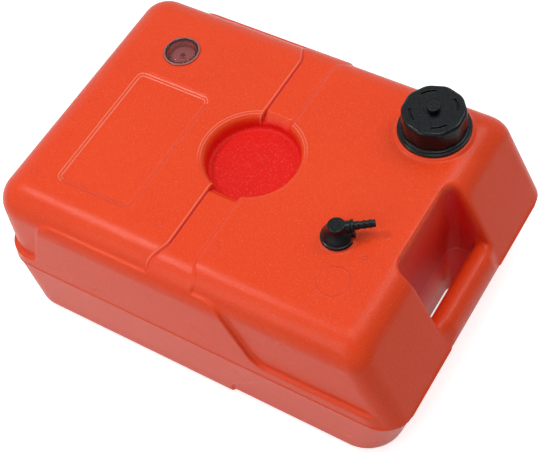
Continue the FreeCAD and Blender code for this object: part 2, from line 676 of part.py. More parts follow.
# --- Filler cap ------------------------------------------------------------------------------
def cap_grip():
    """Ten-sided block with a slight taper and a rounded top edge."""
    loops = [(CAP_GRIP_R + CAP_GRIP_TAPER, CAP_FLANGE_Z + CAP_FLANGE_RIM)]
    for step in range(CAP_GRIP_CUTS + 1):
        angle = math.radians(90.0 * step / CAP_GRIP_CUTS)
        loops.append((CAP_GRIP_R - CAP_GRIP_TOP_R * (1 - math.cos(angle)),
                      CAP_TOP_Z - CAP_GRIP_TOP_R * (1 - math.sin(angle))))
    wires = []
    for radius, z in loops:
        corners = polygon(CAP_X, CAP_Y, CAP_GRIP_SIDES, radius, CAP_GRIP_TURN, CAP_GRIP_CORNER_R)
        wires.append(outline(corners, in_plan(z)))
    return Part.makeLoft(wires, True, True)


def cap_shell():
    """Ten-sided screw cap with a stepped flange, a vent boss and four arc slots."""
    flange = turned([(CAP_BORE_R, CAP_FLANGE_Z),
                     (CAP_FLANGE_R, CAP_FLANGE_Z),
                     (CAP_FLANGE_R, CAP_FLANGE_Z + CAP_FLANGE_RIM, SOFT_EDGE_R),
                     (CAP_FLANGE_STEP_R, CAP_FLANGE_Z + CAP_FLANGE_RIM),
                     (CAP_FLANGE_STEP_R, CAP_FLANGE_Z + CAP_FLANGE_HEIGHT, SOFT_EDGE_R),
                     (CAP_BORE_R, CAP_FLANGE_Z + CAP_FLANGE_HEIGHT)], CAP_X, CAP_Y)
    hollow = turned([(0, TOP), (CAP_BORE_R, TOP), (CAP_BORE_R, CAP_CEILING_Z),
                     (VENT_BOSS_R, CAP_CEILING_Z), (VENT_BOSS_R, VENT_BOSS_Z),
                     (0, VENT_BOSS_Z)], CAP_X, CAP_Y)
    bore = rod(CAP_X, CAP_Y, VENT_STEM_R + RUNNING_FIT, VENT_BOSS_Z - CLEAR, CAP_TOP_Z + CLEAR)
    seat_z = VENT_KNOB_Z - VENT_WASHER_THICKNESS
    seat = rod(CAP_X, CAP_Y, VENT_WASHER_R + LOOSE_FIT, seat_z, CAP_TOP_Z + CLEAR)
    return cap_grip().fuse(flange).cut([hollow, bore, seat] + cap_slots())


def cap_slots():
    """Arc slots let into the cap's top."""
    slots = []
    inner = CAP_SLOT_R - CAP_SLOT_WIDTH / 2
    outer = CAP_SLOT_R + CAP_SLOT_WIDTH / 2
    for index in range(CAP_SLOT_COUNT):
        section = outline([(inner, CAP_TOP_Z - CAP_SLOT_DEPTH), (outer, CAP_TOP_Z - CAP_SLOT_DEPTH),
                           (outer, CAP_TOP_Z + CLEAR), (inner, CAP_TOP_Z + CLEAR)],
                          across(CAP_X, CAP_Y))
        slot = Part.Face(section).revolve(Vec(CAP_X, CAP_Y, 0), UP, CAP_SLOT_SWEEP)
        start = CAP_SLOT_TURN + index * 360.0 / CAP_SLOT_COUNT - CAP_SLOT_SWEEP / 2
        slot.rotate(Vec(CAP_X, CAP_Y, 0), UP, start)
        slots.append(slot)
    return slots


def cap_liner():
    """Plate above the gasket, with a rim that keeps the gasket centred."""
    rim_r = NECK_R - NECK_WALL - LOOSE_FIT
    return turned([(VENT_BOSS_R + LOOSE_FIT, LINER_Z),
                   (rim_r - LINER_RIM_WIDTH, LINER_Z),
                   (rim_r - LINER_RIM_WIDTH, LINER_Z - LINER_RIM_DROP),
                   (rim_r, LINER_Z - LINER_RIM_DROP),
                   (rim_r, LINER_Z),
                   (CAP_BORE_R - LOOSE_FIT, LINER_Z),
                   (CAP_BORE_R - LOOSE_FIT, CAP_CEILING_Z),
                   (VENT_BOSS_R + LOOSE_FIT, CAP_CEILING_Z)], CAP_X, CAP_Y)


def cap_gasket():
    """Rubber ring between the neck's lip and the liner."""
    return ring(CAP_X, CAP_Y, NECK_R - NECK_WALL, NECK_R + LOOSE_FIT, NECK_LIP_Z, LINER_Z)


def vent_screw():
    """Knob and stem that open the vent."""
    groove_r = VENT_STEM_R - VENT_CLIP_BITE
    tip_z = VENT_CLIP_Z - VENT_TIP
    clip_top = VENT_CLIP_Z + VENT_CLIP_THICKNESS
    knob_top = VENT_KNOB_Z + VENT_KNOB_HEIGHT
    screw = turned([(0, tip_z), (VENT_STEM_R, tip_z), (VENT_STEM_R, VENT_CLIP_Z),
                    (groove_r, VENT_CLIP_Z), (groove_r, clip_top), (VENT_STEM_R, clip_top),
                    (VENT_STEM_R, VENT_KNOB_Z), (VENT_KNOB_R, VENT_KNOB_Z),
                    (VENT_KNOB_R, knob_top, VENT_KNOB_EDGE_R), (0, knob_top)], CAP_X, CAP_Y)
    slot = Part.makeBox(4 * VENT_KNOB_R, VENT_COIN_SLOT, 2 * VENT_COIN_SLOT_DEPTH,
                        Vec(-2 * VENT_KNOB_R, -VENT_COIN_SLOT / 2,
                            knob_top - VENT_COIN_SLOT_DEPTH))
    return screw.cut(toward(CAP_X, CAP_Y, OUTLET_TURN, slot))


def vent_washer():
    """Rubber washer under the knob."""
    return ring(CAP_X, CAP_Y, VENT_STEM_R + LOOSE_FIT, VENT_WASHER_R,
                VENT_KNOB_Z - VENT_WASHER_THICKNESS, VENT_KNOB_Z)


def vent_clip():
    """Snap ring that keeps the vent screw in the cap."""
    return ring(CAP_X, CAP_Y, VENT_STEM_R - VENT_CLIP_BITE, VENT_CLIP_R,
                VENT_CLIP_Z, VENT_CLIP_Z + VENT_CLIP_THICKNESS)


# --- Fuel outlet -----------------------------------------------------------------------------
def outlet_base():
    """Screwed stem with a hexagon, a nozzle for the elbow and a nipple for the dip tube."""
    stem_z = TOP - OUTLET_STEM_LENGTH
    ring_r = NOZZLE_R - 2 * O_RING_SECTION_R
    groove_z = NOZZLE_TOP_Z - O_RING_DROP - O_RING_SECTION_R
    groove_top = groove_z + 2 * O_RING_SECTION_R
    bead_z = NOZZLE_TOP_Z - NOZZLE_BEAD_DROP
    bead_r = NOZZLE_R + NOZZLE_BEAD
    spindle = turned([(OUTLET_BORE_R, stem_z - NIPPLE_LENGTH), (NIPPLE_R, stem_z - NIPPLE_LENGTH),
                      (NIPPLE_R, stem_z), (OUTLET_STEM_R, stem_z), (OUTLET_STEM_R, OUTLET_HEX_Z),
                      (NOZZLE_R, OUTLET_HEX_Z), (NOZZLE_R, groove_z), (ring_r, groove_z),
                      (ring_r, groove_top), (NOZZLE_R, groove_top), (NOZZLE_R, bead_z),
                      (bead_r, bead_z + NOZZLE_BEAD), (NOZZLE_R, bead_z + NOZZLE_BEAD_HEIGHT),
                      (NOZZLE_R, NOZZLE_TOP_Z), (OUTLET_BORE_R, NOZZLE_TOP_Z)],
                     OUTLET_X, OUTLET_Y)
    corner_r = OUTLET_HEX_FLATS / 2 / math.cos(math.pi / 6)
    nut = prism(polygon(OUTLET_X, OUTLET_Y, 6, corner_r, 0.0), in_plan(OUTLET_HEX_Z),
                UP * OUTLET_HEX_HEIGHT)
    bore = rod(OUTLET_X, OUTLET_Y, OUTLET_BORE_R, OUTLET_HEX_Z, OUTLET_HEX_Z + OUTLET_HEX_HEIGHT)
    return spindle.fuse(nut).cut(bore)


def outlet_gasket():
    """Rubber ring between the moulded boss and the hexagon."""
    inner = OUTLET_STEM_R + LOOSE_FIT
    return ring(OUTLET_X, OUTLET_Y, inner, OUTLET_GASKET_R - 2 * LOOSE_FIT,
                OUTLET_GASKET_Z, OUTLET_HEX_Z)


def swivel_o_ring():
    """O-ring in the nozzle's groove."""
    section = polygon(NOZZLE_R - O_RING_SECTION_R, NOZZLE_TOP_Z - O_RING_DROP, O_RING_FACETS,
                      O_RING_SECTION_R, 0.0)
    return turned(section, OUTLET_X, OUTLET_Y)


def outlet_elbow():
    """Bell-shaped elbow that turns on the nozzle and carries the hose tail."""
    neck_z = ELBOW_TOP_Z - ELBOW_HEAD_HEIGHT
    bell = turned([(0, ELBOW_Z), (ELBOW_LIP_R, ELBOW_Z),
                   (ELBOW_LIP_R, ELBOW_Z + ELBOW_LIP_HEIGHT, SOFT_EDGE_R),
                   (ELBOW_LIP_R - 1.0, ELBOW_Z + ELBOW_LIP_HEIGHT),
                   (ELBOW_WAIST_R, ELBOW_Z + ELBOW_LIP_HEIGHT + ELBOW_FLARE),
                   (ELBOW_WAIST_R, neck_z),
                   (ELBOW_HEAD_R, neck_z + 1.0),
                   (ELBOW_HEAD_R, ELBOW_TOP_Z, SOFT_EDGE_R),
                   (0, ELBOW_TOP_Z)], 0, 0)
    arm = along_x([(0, 0), (ELBOW_ARM_LENGTH, 0), (ELBOW_ARM_LENGTH, ELBOW_ARM_R, FINE_EDGE_R),
                   (0, ELBOW_ARM_R)], ARM_Z)
    socket_r = NOZZLE_R + RUNNING_FIT
    bead_z = NOZZLE_TOP_Z - NOZZLE_BEAD_DROP
    hollow_top = ELBOW_Z + ELBOW_HOLLOW
    snap_r = socket_r + NOZZLE_BEAD
    hollow_r = OUTLET_HEX_FLATS / 2 + ELBOW_SKIN
    hollow = turned([(0, ELBOW_Z - CLEAR), (hollow_r, ELBOW_Z - CLEAR),
                     (hollow_r, hollow_top),
                     (socket_r, hollow_top),
                     (socket_r, bead_z - SNAP_GAP),
                     (snap_r, bead_z - SNAP_GAP),
                     (snap_r, bead_z + NOZZLE_BEAD_HEIGHT + SNAP_GAP),
                     (socket_r, bead_z + NOZZLE_BEAD_HEIGHT + SNAP_GAP),
                     (socket_r, NOZZLE_TOP_Z + SNAP_GAP),
                     (0, NOZZLE_TOP_Z + SNAP_GAP)], 0, 0)
    rise = rod(0, 0, OUTLET_BORE_R, NOZZLE_TOP_Z, ARM_Z)
    shank_end = ELBOW_ARM_LENGTH / 2
    seal_end = ELBOW_ARM_LENGTH + TAIL_SEAL_STAND - TAIL_SEAL_THICKNESS
    passage = along_x([(-OUTLET_BORE_R, 0), (FAR / 4, 0), (FAR / 4, TAIL_SEAL_R + LOOSE_FIT),
                       (seal_end, TAIL_SEAL_R + LOOSE_FIT), (seal_end, TAIL_SHANK_R + RUNNING_FIT),
                       (shank_end, TAIL_SHANK_R + RUNNING_FIT), (shank_end, OUTLET_BORE_R),
                       (-OUTLET_BORE_R, OUTLET_BORE_R)], ARM_Z)
    window = Part.makeBox(ELBOW_LIP_R, ELBOW_WINDOW_WIDTH, ELBOW_WINDOW_HEIGHT,
                          Vec(ELBOW_WAIST_R + 1.0, -ELBOW_WINDOW_WIDTH / 2,
                              ELBOW_Z + ELBOW_LIP_HEIGHT))
    elbow = bell.fuse(arm).cut([hollow, rise, passage, window])
    return toward(OUTLET_X, OUTLET_Y, OUTLET_TURN, elbow)


def tail_start():
    """Distance from the swivel axis to the tail's collar."""
    return ELBOW_ARM_LENGTH + TAIL_SEAL_STAND


def hose_tail():
    """Barbed tail with a collar, pushed into the elbow's arm."""
    collar = tail_start()
    neck = collar + TAIL_COLLAR_LENGTH
    barb = neck + TAIL_NECK_LENGTH
    inside = ELBOW_ARM_LENGTH / 2 + LOOSE_FIT
    corners = [(inside, TAIL_BORE_R), (inside, TAIL_SHANK_R), (collar, TAIL_SHANK_R),
               (collar, TAIL_COLLAR_R, FINE_EDGE_R), (neck, TAIL_COLLAR_R, FINE_EDGE_R),
               (neck, TAIL_NECK_R),
               (barb, TAIL_NECK_R)]
    foot_r = TAIL_BARB_R - TAIL_BARB_DROP
    for index in range(TAIL_BARB_COUNT):
        start = barb + index * TAIL_BARB_LENGTH
        corners += [(start, TAIL_BARB_R), (start + TAIL_BARB_SLOPE, foot_r),
                    (start + TAIL_BARB_LENGTH, foot_r)]
    corners.append((barb + TAIL_BARB_COUNT * TAIL_BARB_LENGTH, TAIL_BORE_R))
    return toward(OUTLET_X, OUTLET_Y, OUTLET_TURN, along_x(corners, ARM_Z))


def tail_seal():
    """Rubber washer between the elbow's arm and the tail's collar."""
    end = tail_start()
    start = end - TAIL_SEAL_THICKNESS
    inner = TAIL_SHANK_R + RUNNING_FIT
    washer = along_x([(start, inner), (end, inner), (end, TAIL_SEAL_R), (start, TAIL_SEAL_R)],
                     ARM_Z)
    return toward(OUTLET_X, OUTLET_Y, OUTLET_TURN, washer)


def pickup_tube():
    """Dip tube pushed on the nipple."""
    top = TOP - OUTLET_STEM_LENGTH - LOOSE_FIT
    return ring(OUTLET_X, OUTLET_Y, NIPPLE_R, NIPPLE_R + PICKUP_WALL, PICKUP_FOOT_Z, top)


def strainer_cage():
    """Ribbed cup on the foot of the dip tube."""
    tube_r = NIPPLE_R + PICKUP_WALL
    collar_z = STRAINER_TOP_Z - STRAINER_COLLAR
    inner = STRAINER_R - STRAINER_WALL
    cup = turned([(0, STRAINER_Z), (STRAINER_R, STRAINER_Z),
                  (STRAINER_R, STRAINER_TOP_Z), (tube_r, STRAINER_TOP_Z),
                  (tube_r, collar_z), (inner, collar_z), (inner, STRAINER_Z + STRAINER_WALL),
                  (0, STRAINER_Z + STRAINER_WALL)], OUTLET_X, OUTLET_Y)
    pitch = 2 * math.pi * STRAINER_R / STRAINER_WINDOWS
    windows = []
    for index in range(STRAINER_WINDOWS):
        window = Part.makeBox(2 * STRAINER_R, pitch - STRAINER_RIB,
                              collar_z - STRAINER_Z - 4 * STRAINER_WALL,
                              Vec(inner / 2, (STRAINER_RIB - pitch) / 2,
                                  STRAINER_Z + 2 * STRAINER_WALL))
        windows.append(toward(OUTLET_X, OUTLET_Y, index * 360.0 / STRAINER_WINDOWS, window))
    return cup.cut(windows)


def strainer_mesh():
    """Fine mesh sleeve inside the cage."""
    outer = STRAINER_R - STRAINER_WALL
    return ring(OUTLET_X, OUTLET_Y, outer - MESH_THICKNESS, outer,
                STRAINER_Z + STRAINER_WALL, STRAINER_TOP_Z - STRAINER_COLLAR)


# --- Fuel gauge: a float that rides a twisted strip and so turns the pointer ----------------
def gauge_lens():
    """Clear window with a lipped flange and a skirt that holds the works."""
    seat_z = TOP - GAUGE_SEAT_DEPTH
    flange_z = seat_z + GAUGE_SEAL_THICKNESS
    window_z = TOP + LENS_STAND
    return turned([(LENS_BORE_R, LENS_SKIRT_Z), (LENS_SKIRT_R, LENS_SKIRT_Z),
                   (LENS_SKIRT_R, flange_z), (LENS_R - LENS_LIP, flange_z),
                   (LENS_R - LENS_LIP, seat_z), (LENS_R, seat_z),
                   (LENS_R, flange_z + LENS_THICKNESS, SOFT_EDGE_R),
                   (LENS_RISER_R, flange_z + LENS_THICKNESS),
                   (LENS_RISER_R, window_z, FINE_EDGE_R), (0, window_z),
                   (0, window_z - LENS_THICKNESS), (LENS_BORE_R, window_z - LENS_THICKNESS)],
                  GAUGE_X, GAUGE_Y)


def gauge_seal():
    """Black rubber ring under the lens flange."""
    seat_z = TOP - GAUGE_SEAT_DEPTH
    return ring(GAUGE_X, GAUGE_Y, GAUGE_BORE_R, LENS_R - LENS_LIP - LOOSE_FIT,
                seat_z, seat_z + GAUGE_SEAL_THICKNESS)


def rail_places():
    """Axes of the two guide rails."""
    return {"left": GAUGE_X - RAIL_SPREAD, "right": GAUGE_X + RAIL_SPREAD}


def gauge_carrier():
    """Cup that snaps into the lens skirt, holds the dial and bears the spindle."""
    inner_r = LENS_BORE_R - DIAL_LEDGE
    cup = turned([(PIVOT_R + RUNNING_FIT, CARRIER_Z), (LENS_SKIRT_R, CARRIER_Z),
                  (LENS_SKIRT_R, LENS_SKIRT_Z), (LENS_BORE_R, LENS_SKIRT_Z),
                  (LENS_BORE_R, DIAL_Z), (inner_r, DIAL_Z), (inner_r, CARRIER_FLOOR_Z),
                  (PIVOT_R + RUNNING_FIT, CARRIER_FLOOR_Z)], GAUGE_X, GAUGE_Y)
    sockets = [rod(x, GAUGE_Y, RAIL_R + RAIL_SOCKET_FIT, CARRIER_Z - CLEAR, CARRIER_FLOOR_Z + CLEAR)
               for x in rail_places().values()]
    return cup.cut(sockets)


def gauge_dial():
    """Disc that the pointer sweeps."""
    return ring(GAUGE_X, GAUGE_Y, PIVOT_COLLAR_R, LENS_BORE_R - LOOSE_FIT / 3,
                DIAL_Z, DIAL_Z + DIAL_THICKNESS)


def gauge_pointer():
    """Needle on its hub, pointing at the empty mark."""
    low = DIAL_Z + DIAL_THICKNESS + LOOSE_FIT
    hub = rod(0, 0, POINTER_HUB_R, low, low + POINTER_HUB_HEIGHT)
    needle = prism([(-POINTER_TAIL, -POINTER_WIDTH / 2), (-POINTER_TAIL, POINTER_WIDTH / 2),
                    (POINTER_LENGTH - POINTER_WIDTH, POINTER_WIDTH / 3),
                    (POINTER_LENGTH, 0), (POINTER_LENGTH - POINTER_WIDTH, -POINTER_WIDTH / 3)],
                   in_plan(low), UP * POINTER_THICKNESS)
    bore = rod(0, 0, PIVOT_R, low - CLEAR, low + POINTER_HUB_HEIGHT - POINTER_THICKNESS)
    return toward(GAUGE_X, GAUGE_Y, POINTER_EMPTY, hub.fuse(needle).cut(bore))


def blade_angle(z):
    """Direction of the twisted strip's width at a height, in degrees."""
    return TWIST_PER_MM * (z - BUSH_WEB_Z)


def blade_section(z):
    """The strip's rectangle at one height."""
    half_w = BLADE_WIDTH / 2
    half_t = BLADE_THICKNESS / 2
    wire = outline([(-half_w, -half_t), (half_w, -half_t), (half_w, half_t), (-half_w, half_t)],
                   in_plan(z))
    return toward(GAUGE_X, GAUGE_Y, blade_angle(z), wire)


def gauge_spindle():
    """Twisted strip with a pivot at each end."""
    low = FOOT_TOP_Z + LOOSE_FIT + PIVOT_COLLAR_HEIGHT
    high = CARRIER_Z - LOOSE_FIT - PIVOT_COLLAR_HEIGHT
    count = math.ceil((high - low) * TWIST_PER_MM / BLADE_STEP)
    sections = [blade_section(low + (high - low) * index / count) for index in range(count + 1)]
    blade = Part.makeLoft(sections, True, False)
    hub_top = DIAL_Z + DIAL_THICKNESS + LOOSE_FIT + POINTER_HUB_HEIGHT - POINTER_THICKNESS
    upper = turned([(0, high), (PIVOT_COLLAR_R, high), (PIVOT_COLLAR_R, high + PIVOT_COLLAR_HEIGHT),
                    (PIVOT_R, high + PIVOT_COLLAR_HEIGHT), (PIVOT_R, hub_top), (0, hub_top)],
                   GAUGE_X, GAUGE_Y)
    tip = FOOT_TOP_Z - FOOT_PIVOT_DEPTH + LOOSE_FIT
    lower = turned([(0, tip), (PIVOT_R, tip), (PIVOT_R, low - PIVOT_COLLAR_HEIGHT),
                    (PIVOT_COLLAR_R, low - PIVOT_COLLAR_HEIGHT), (PIVOT_COLLAR_R, low), (0, low)],
                   GAUGE_X, GAUGE_Y)
    return blade.fuse([upper, lower])


def gauge_rail(x):
    """Guide rail from the foot to the carrier."""
    return rod(x, GAUGE_Y, RAIL_R, FOOT_Z, CARRIER_FLOOR_Z)


def gauge_foot():
    """Lower plate that ties the rails and bears the spindle."""
    plate = turned([(0, FOOT_Z), (FOOT_R, FOOT_Z), (FOOT_R, FOOT_TOP_Z),
                    (PIVOT_R + RUNNING_FIT, FOOT_TOP_Z),
                    (PIVOT_R + RUNNING_FIT, FOOT_TOP_Z - FOOT_PIVOT_DEPTH),
                    (0, FOOT_TOP_Z - FOOT_PIVOT_DEPTH)], GAUGE_X, GAUGE_Y)
    sockets = [rod(x, GAUGE_Y, RAIL_R + RAIL_SOCKET_FIT, FOOT_Z - CLEAR, FOOT_TOP_Z + CLEAR)
               for x in rail_places().values()]
    return plate.cut(sockets)


def gauge_float():
    """Foam float with holes for the rails and the bush."""
    top = FLOAT_Z + FLOAT_HEIGHT
    body = ring(GAUGE_X, GAUGE_Y, BUSH_R, FLOAT_R, FLOAT_Z, top)
    holes = [rod(x, GAUGE_Y, RAIL_R + RAIL_FLOAT_GAP, FLOAT_Z - CLEAR, top + CLEAR)
             for x in rail_places().values()]
    return body.cut(holes)


def float_bush():
    """Sleeve in the float whose slotted web follows the twisted strip."""
    web_low = BUSH_WEB_Z - BUSH_WEB / 2
    web_high = BUSH_WEB_Z + BUSH_WEB / 2
    sleeve = turned([(0, web_low), (BUSH_R - BUSH_WALL, web_low), (BUSH_R - BUSH_WALL, FLOAT_Z),
                     (BUSH_R, FLOAT_Z), (BUSH_R, FLOAT_Z + FLOAT_HEIGHT),
                     (BUSH_R - BUSH_WALL, FLOAT_Z + FLOAT_HEIGHT),
                     (BUSH_R - BUSH_WALL, web_high), (0, web_high)], GAUGE_X, GAUGE_Y)
    length = BLADE_WIDTH + 2 * BUSH_SLOT_GAP
    width = BLADE_THICKNESS + 2 * BUSH_SLOT_GAP
    slot = Part.makeBox(length, width, 4 * BUSH_WEB,
                        Vec(-length / 2, -width / 2, BUSH_WEB_Z - 2 * BUSH_WEB))
    return sleeve.cut(toward(GAUGE_X, GAUGE_Y, blade_angle(BUSH_WEB_Z), slot))


# --- All pieces -----------------------------------------------------------------------------
def main():
    """Builds and writes every piece."""
    save("tank_body", tank_body())
    save("cap_shell", cap_shell())
    save("cap_liner", cap_liner())
    save("cap_gasket", cap_gasket())
    save("vent_screw", vent_screw())
    save("vent_washer", vent_washer())
    save("vent_clip", vent_clip())
    save("outlet_base", outlet_base())
    save("outlet_gasket", outlet_gasket())
    save("swivel_o_ring", swivel_o_ring())
    save("outlet_elbow", outlet_elbow())
    save("hose_tail", hose_tail())
    save("tail_seal", tail_seal())
    save("pickup_tube", pickup_tube())
    save("strainer_cage", strainer_cage())
    save("strainer_mesh", strainer_mesh())
    save("gauge_lens", gauge_lens())
    save("gauge_seal", gauge_seal())
    save("gauge_carrier", gauge_carrier())
    save("gauge_dial", gauge_dial())
    save("gauge_pointer", gauge_pointer())
    save("gauge_spindle", gauge_spindle())
    save("gauge_foot", gauge_foot())
    save("gauge_float", gauge_float())
    save("float_bush", float_bush())
    for name, x in rail_places().items():
        save("gauge_rail_" + name, gauge_rail(x))


main()
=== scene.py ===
import json
import logging
import math
from dataclasses import dataclass
from enum import Enum
from typing import Callable, Iterable, Sequence

import bmesh
import bpy
from mathutils import Matrix, Vector


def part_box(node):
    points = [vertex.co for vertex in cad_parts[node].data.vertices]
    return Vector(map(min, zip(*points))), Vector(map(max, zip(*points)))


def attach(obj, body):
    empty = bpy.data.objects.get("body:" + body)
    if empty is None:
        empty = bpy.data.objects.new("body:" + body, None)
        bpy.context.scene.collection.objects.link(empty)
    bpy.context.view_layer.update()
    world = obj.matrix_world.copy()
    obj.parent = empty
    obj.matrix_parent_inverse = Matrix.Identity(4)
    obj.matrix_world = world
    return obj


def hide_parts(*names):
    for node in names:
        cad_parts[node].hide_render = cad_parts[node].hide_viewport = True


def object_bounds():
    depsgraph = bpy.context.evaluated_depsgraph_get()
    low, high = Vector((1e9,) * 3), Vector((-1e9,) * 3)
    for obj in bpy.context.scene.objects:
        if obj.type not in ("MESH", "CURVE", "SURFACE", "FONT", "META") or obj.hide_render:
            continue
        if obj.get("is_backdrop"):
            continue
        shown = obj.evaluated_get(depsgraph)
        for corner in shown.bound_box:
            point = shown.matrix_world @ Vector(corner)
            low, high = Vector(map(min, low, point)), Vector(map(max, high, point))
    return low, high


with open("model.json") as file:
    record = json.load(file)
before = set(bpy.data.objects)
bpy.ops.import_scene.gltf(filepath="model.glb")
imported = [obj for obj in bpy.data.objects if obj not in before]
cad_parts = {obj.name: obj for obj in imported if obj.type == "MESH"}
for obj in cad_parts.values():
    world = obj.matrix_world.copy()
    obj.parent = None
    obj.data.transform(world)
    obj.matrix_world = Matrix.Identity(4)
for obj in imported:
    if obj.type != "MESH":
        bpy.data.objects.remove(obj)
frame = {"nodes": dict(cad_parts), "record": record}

LOG = logging.getLogger("fuel_tank")
MM = 0.001
CRISP_DEGREES = 38.0    # edges sharper than this stay crisp
WHITE = (1.0, 1.0, 1.0, 1.0)

# Places on the tank, in millimetres
PARTING_Z = 93.0
END_X = 250.0
END_SLOPE = 21.5        # degrees
POCKET_X = 190.5
BAR_X = 221.0
BAR_TOP_Z = 121.0
CAP_AXIS = (148.5, 110.0)
OUTLET_AXIS = (124.0, -52.0)
GAUGE_AXIS = (-156.6, 89.5)

Socket = bpy.types.NodeSocket
Finish = bpy.types.Material
Piece = bpy.types.Object
Mesh = bmesh.types.BMesh


class Body(Enum):
    """The moving bodies that pieces ride on."""

    TANK = "tank"
    CAP = "cap"
    VENT = "vent"
    OUTLET = "outlet"
    NEEDLE = "needle"


class Slot(Enum):
    """The material slots that the pieces take their finish from."""

    TANK = "tank_red"
    BLACK = "black_plastic"
    RUBBER = "rubber"
    CLEAR = "clear_plastic"
    ORANGE = "pointer_orange"


# --- Colour, nodes and mesh helpers ---------------------------------------------------------------
def linear(code: str) -> tuple[float, float, float, float]:
    """Turns an sRGB hex colour to linear.

    Args:
        code: Six hex digits, such as "ec5132".

    Returns:
        Red, green, blue and an alpha of 1.
    """
    values = [int(code[place:place + 2], 16) / 255 for place in (0, 2, 4)]
    red, green, blue = (value / 12.92 if value <= 0.04045 else ((value + 0.055) / 1.055) ** 2.4
                        for value in values)
    return red, green, blue, 1.0


class Nodes:
    """A node tree, with short ways to add to it."""

    def __init__(self, tree: bpy.types.NodeTree) -> None:
        """Empties the tree.

        Args:
            tree: The tree of a material or of the world.
        """
        self.tree = tree
        tree.nodes.clear()

    def add(self, kind: str, sockets: dict | None = None, **settings: object) -> bpy.types.Node:
        """Adds one node with its settings and links.

        Args:
            kind: Blender's name of the node type.
            sockets: Input name or index to a value, or to the output socket that feeds it.
            **settings: Attributes of the node itself.

        Returns:
            The new node.
        """
        node = self.tree.nodes.new(kind)
        for name, value in settings.items():
            setattr(node, name, value)
        for name, value in (sockets or {}).items():
            if isinstance(value, Socket):
                self.tree.links.new(value, node.inputs[name])
            else:
                node.inputs[name].default_value = value
        return node

    def math(self, operation: str, first: object, second: object = 0.0) -> Socket:
        """Adds one sum.

        Args:
            operation: Blender's name of the sum.
            first: A value or an output socket.
            second: A value or an output socket.

        Returns:
            The result's socket.
        """
        return self.add("ShaderNodeMath", {0: first, 1: second},
                        operation=operation).outputs["Value"]

    def join(self, *lines: Socket) -> Socket:
        """Takes the strongest of several lines.

        Args:
            *lines: Their strengths.

        Returns:
            The result's socket.
        """
        strongest = lines[0]
        for line in lines[1:]:
            strongest = self.math("MAXIMUM", strongest, line)
        return strongest

    def keep(self, line: Socket, *gates: float | Socket) -> Socket:
        """Fades a line.

        Args:
            line: Its strength.
            *gates: The shares to keep, from 0 to 1.

        Returns:
            The result's socket.
        """
        for gate in gates:
            line = self.math("MULTIPLY", line, gate)
        return line

    def ramp(self, value: Socket, start: float, end: float) -> Socket:
        """Rises smoothly from 0 to 1.

        Args:
            value: A length in metres.
            start: Where the rise starts, in millimetres.
            end: Where it ends, which may lie below the start.

        Returns:
            The result's socket.
        """
        return self.add("ShaderNodeMapRange", {
            "Value": value, "From Min": start * MM, "From Max": end * MM},
            interpolation_type="SMOOTHSTEP").outputs["Result"]

    def remap(self, value: Socket, source: tuple[float, float], target: tuple) -> Socket:
        """Stretches one range of values over another, held at its ends.

        Args:
            value: The value to stretch.
            source: Start and end of its range.
            target: What they become, each a number or a socket.

        Returns:
            The result's socket.
        """
        return self.add("ShaderNodeMapRange", {
            "Value": value, "From Min": source[0], "From Max": source[1],
            "To Min": target[0], "To Max": target[1]}).outputs["Result"]

    def noise(self, place: Socket, size_mm: float, detail: float,
              roughness: float = 0.5) -> Socket:
        """Adds a noise pattern.

        Args:
            place: The point.
            size_mm: Size of its spots in millimetres.
            detail: Number of finer layers.
            roughness: Strength of the finer layers.

        Returns:
            The pattern's strength, from 0 to 1.
        """
        return self.add("ShaderNodeTexNoise", {
            "Vector": place, "Scale": 1 / (size_mm * MM), "Detail": detail,
            "Roughness": roughness}).outputs["Fac"]

    def blend(self, share: Socket, first: object, second: object) -> Socket:
        """Mixes two colours.

        Args:
            share: Share of the second colour.
            first: A colour or its socket.
            second: A colour or its socket.

        Returns:
            The mixed colour's socket.
        """
        return self.add("ShaderNodeMix", {"Factor": share, 6: first, 7: second},
                        data_type="RGBA").outputs[2]

    def bump(self, height: Socket, strength: float, depth_mm: float,
             under: Socket | None = None) -> Socket:
        """Adds fine relief.

        Args:
            height: The relief's pattern.
            strength: How much of it shows.
            depth_mm: Its depth in millimetres.
            under: Relief that it lies on.

        Returns:
            The surface direction's socket.
        """
        sockets = {"Height": height, "Strength": strength, "Distance": depth_mm * MM}
        if under is not None:
            sockets["Normal"] = under
        return self.add("ShaderNodeBump", sockets).outputs["Normal"]


class FinishNodes(Nodes):
    """Node tree of one finish."""

    def __init__(self, name: str) -> None:
        """Starts an empty finish.

        Args:
            name: The finish's name.
        """
        self.material = bpy.data.materials.new(name)
        self.material.use_nodes = True
        super().__init__(self.material.node_tree)
        self.place = self.add("ShaderNodeTexCoord").outputs["Object"]

    def surface(self, sockets: dict) -> Finish:
        """Adds the surface itself.

        Args:
            sockets: Inputs of the principled surface.

        Returns:
            The finished material.
        """
        shader = self.add("ShaderNodeBsdfPrincipled", sockets)
        self.add("ShaderNodeOutputMaterial", {"Surface": shader.outputs["BSDF"]})
        return self.material


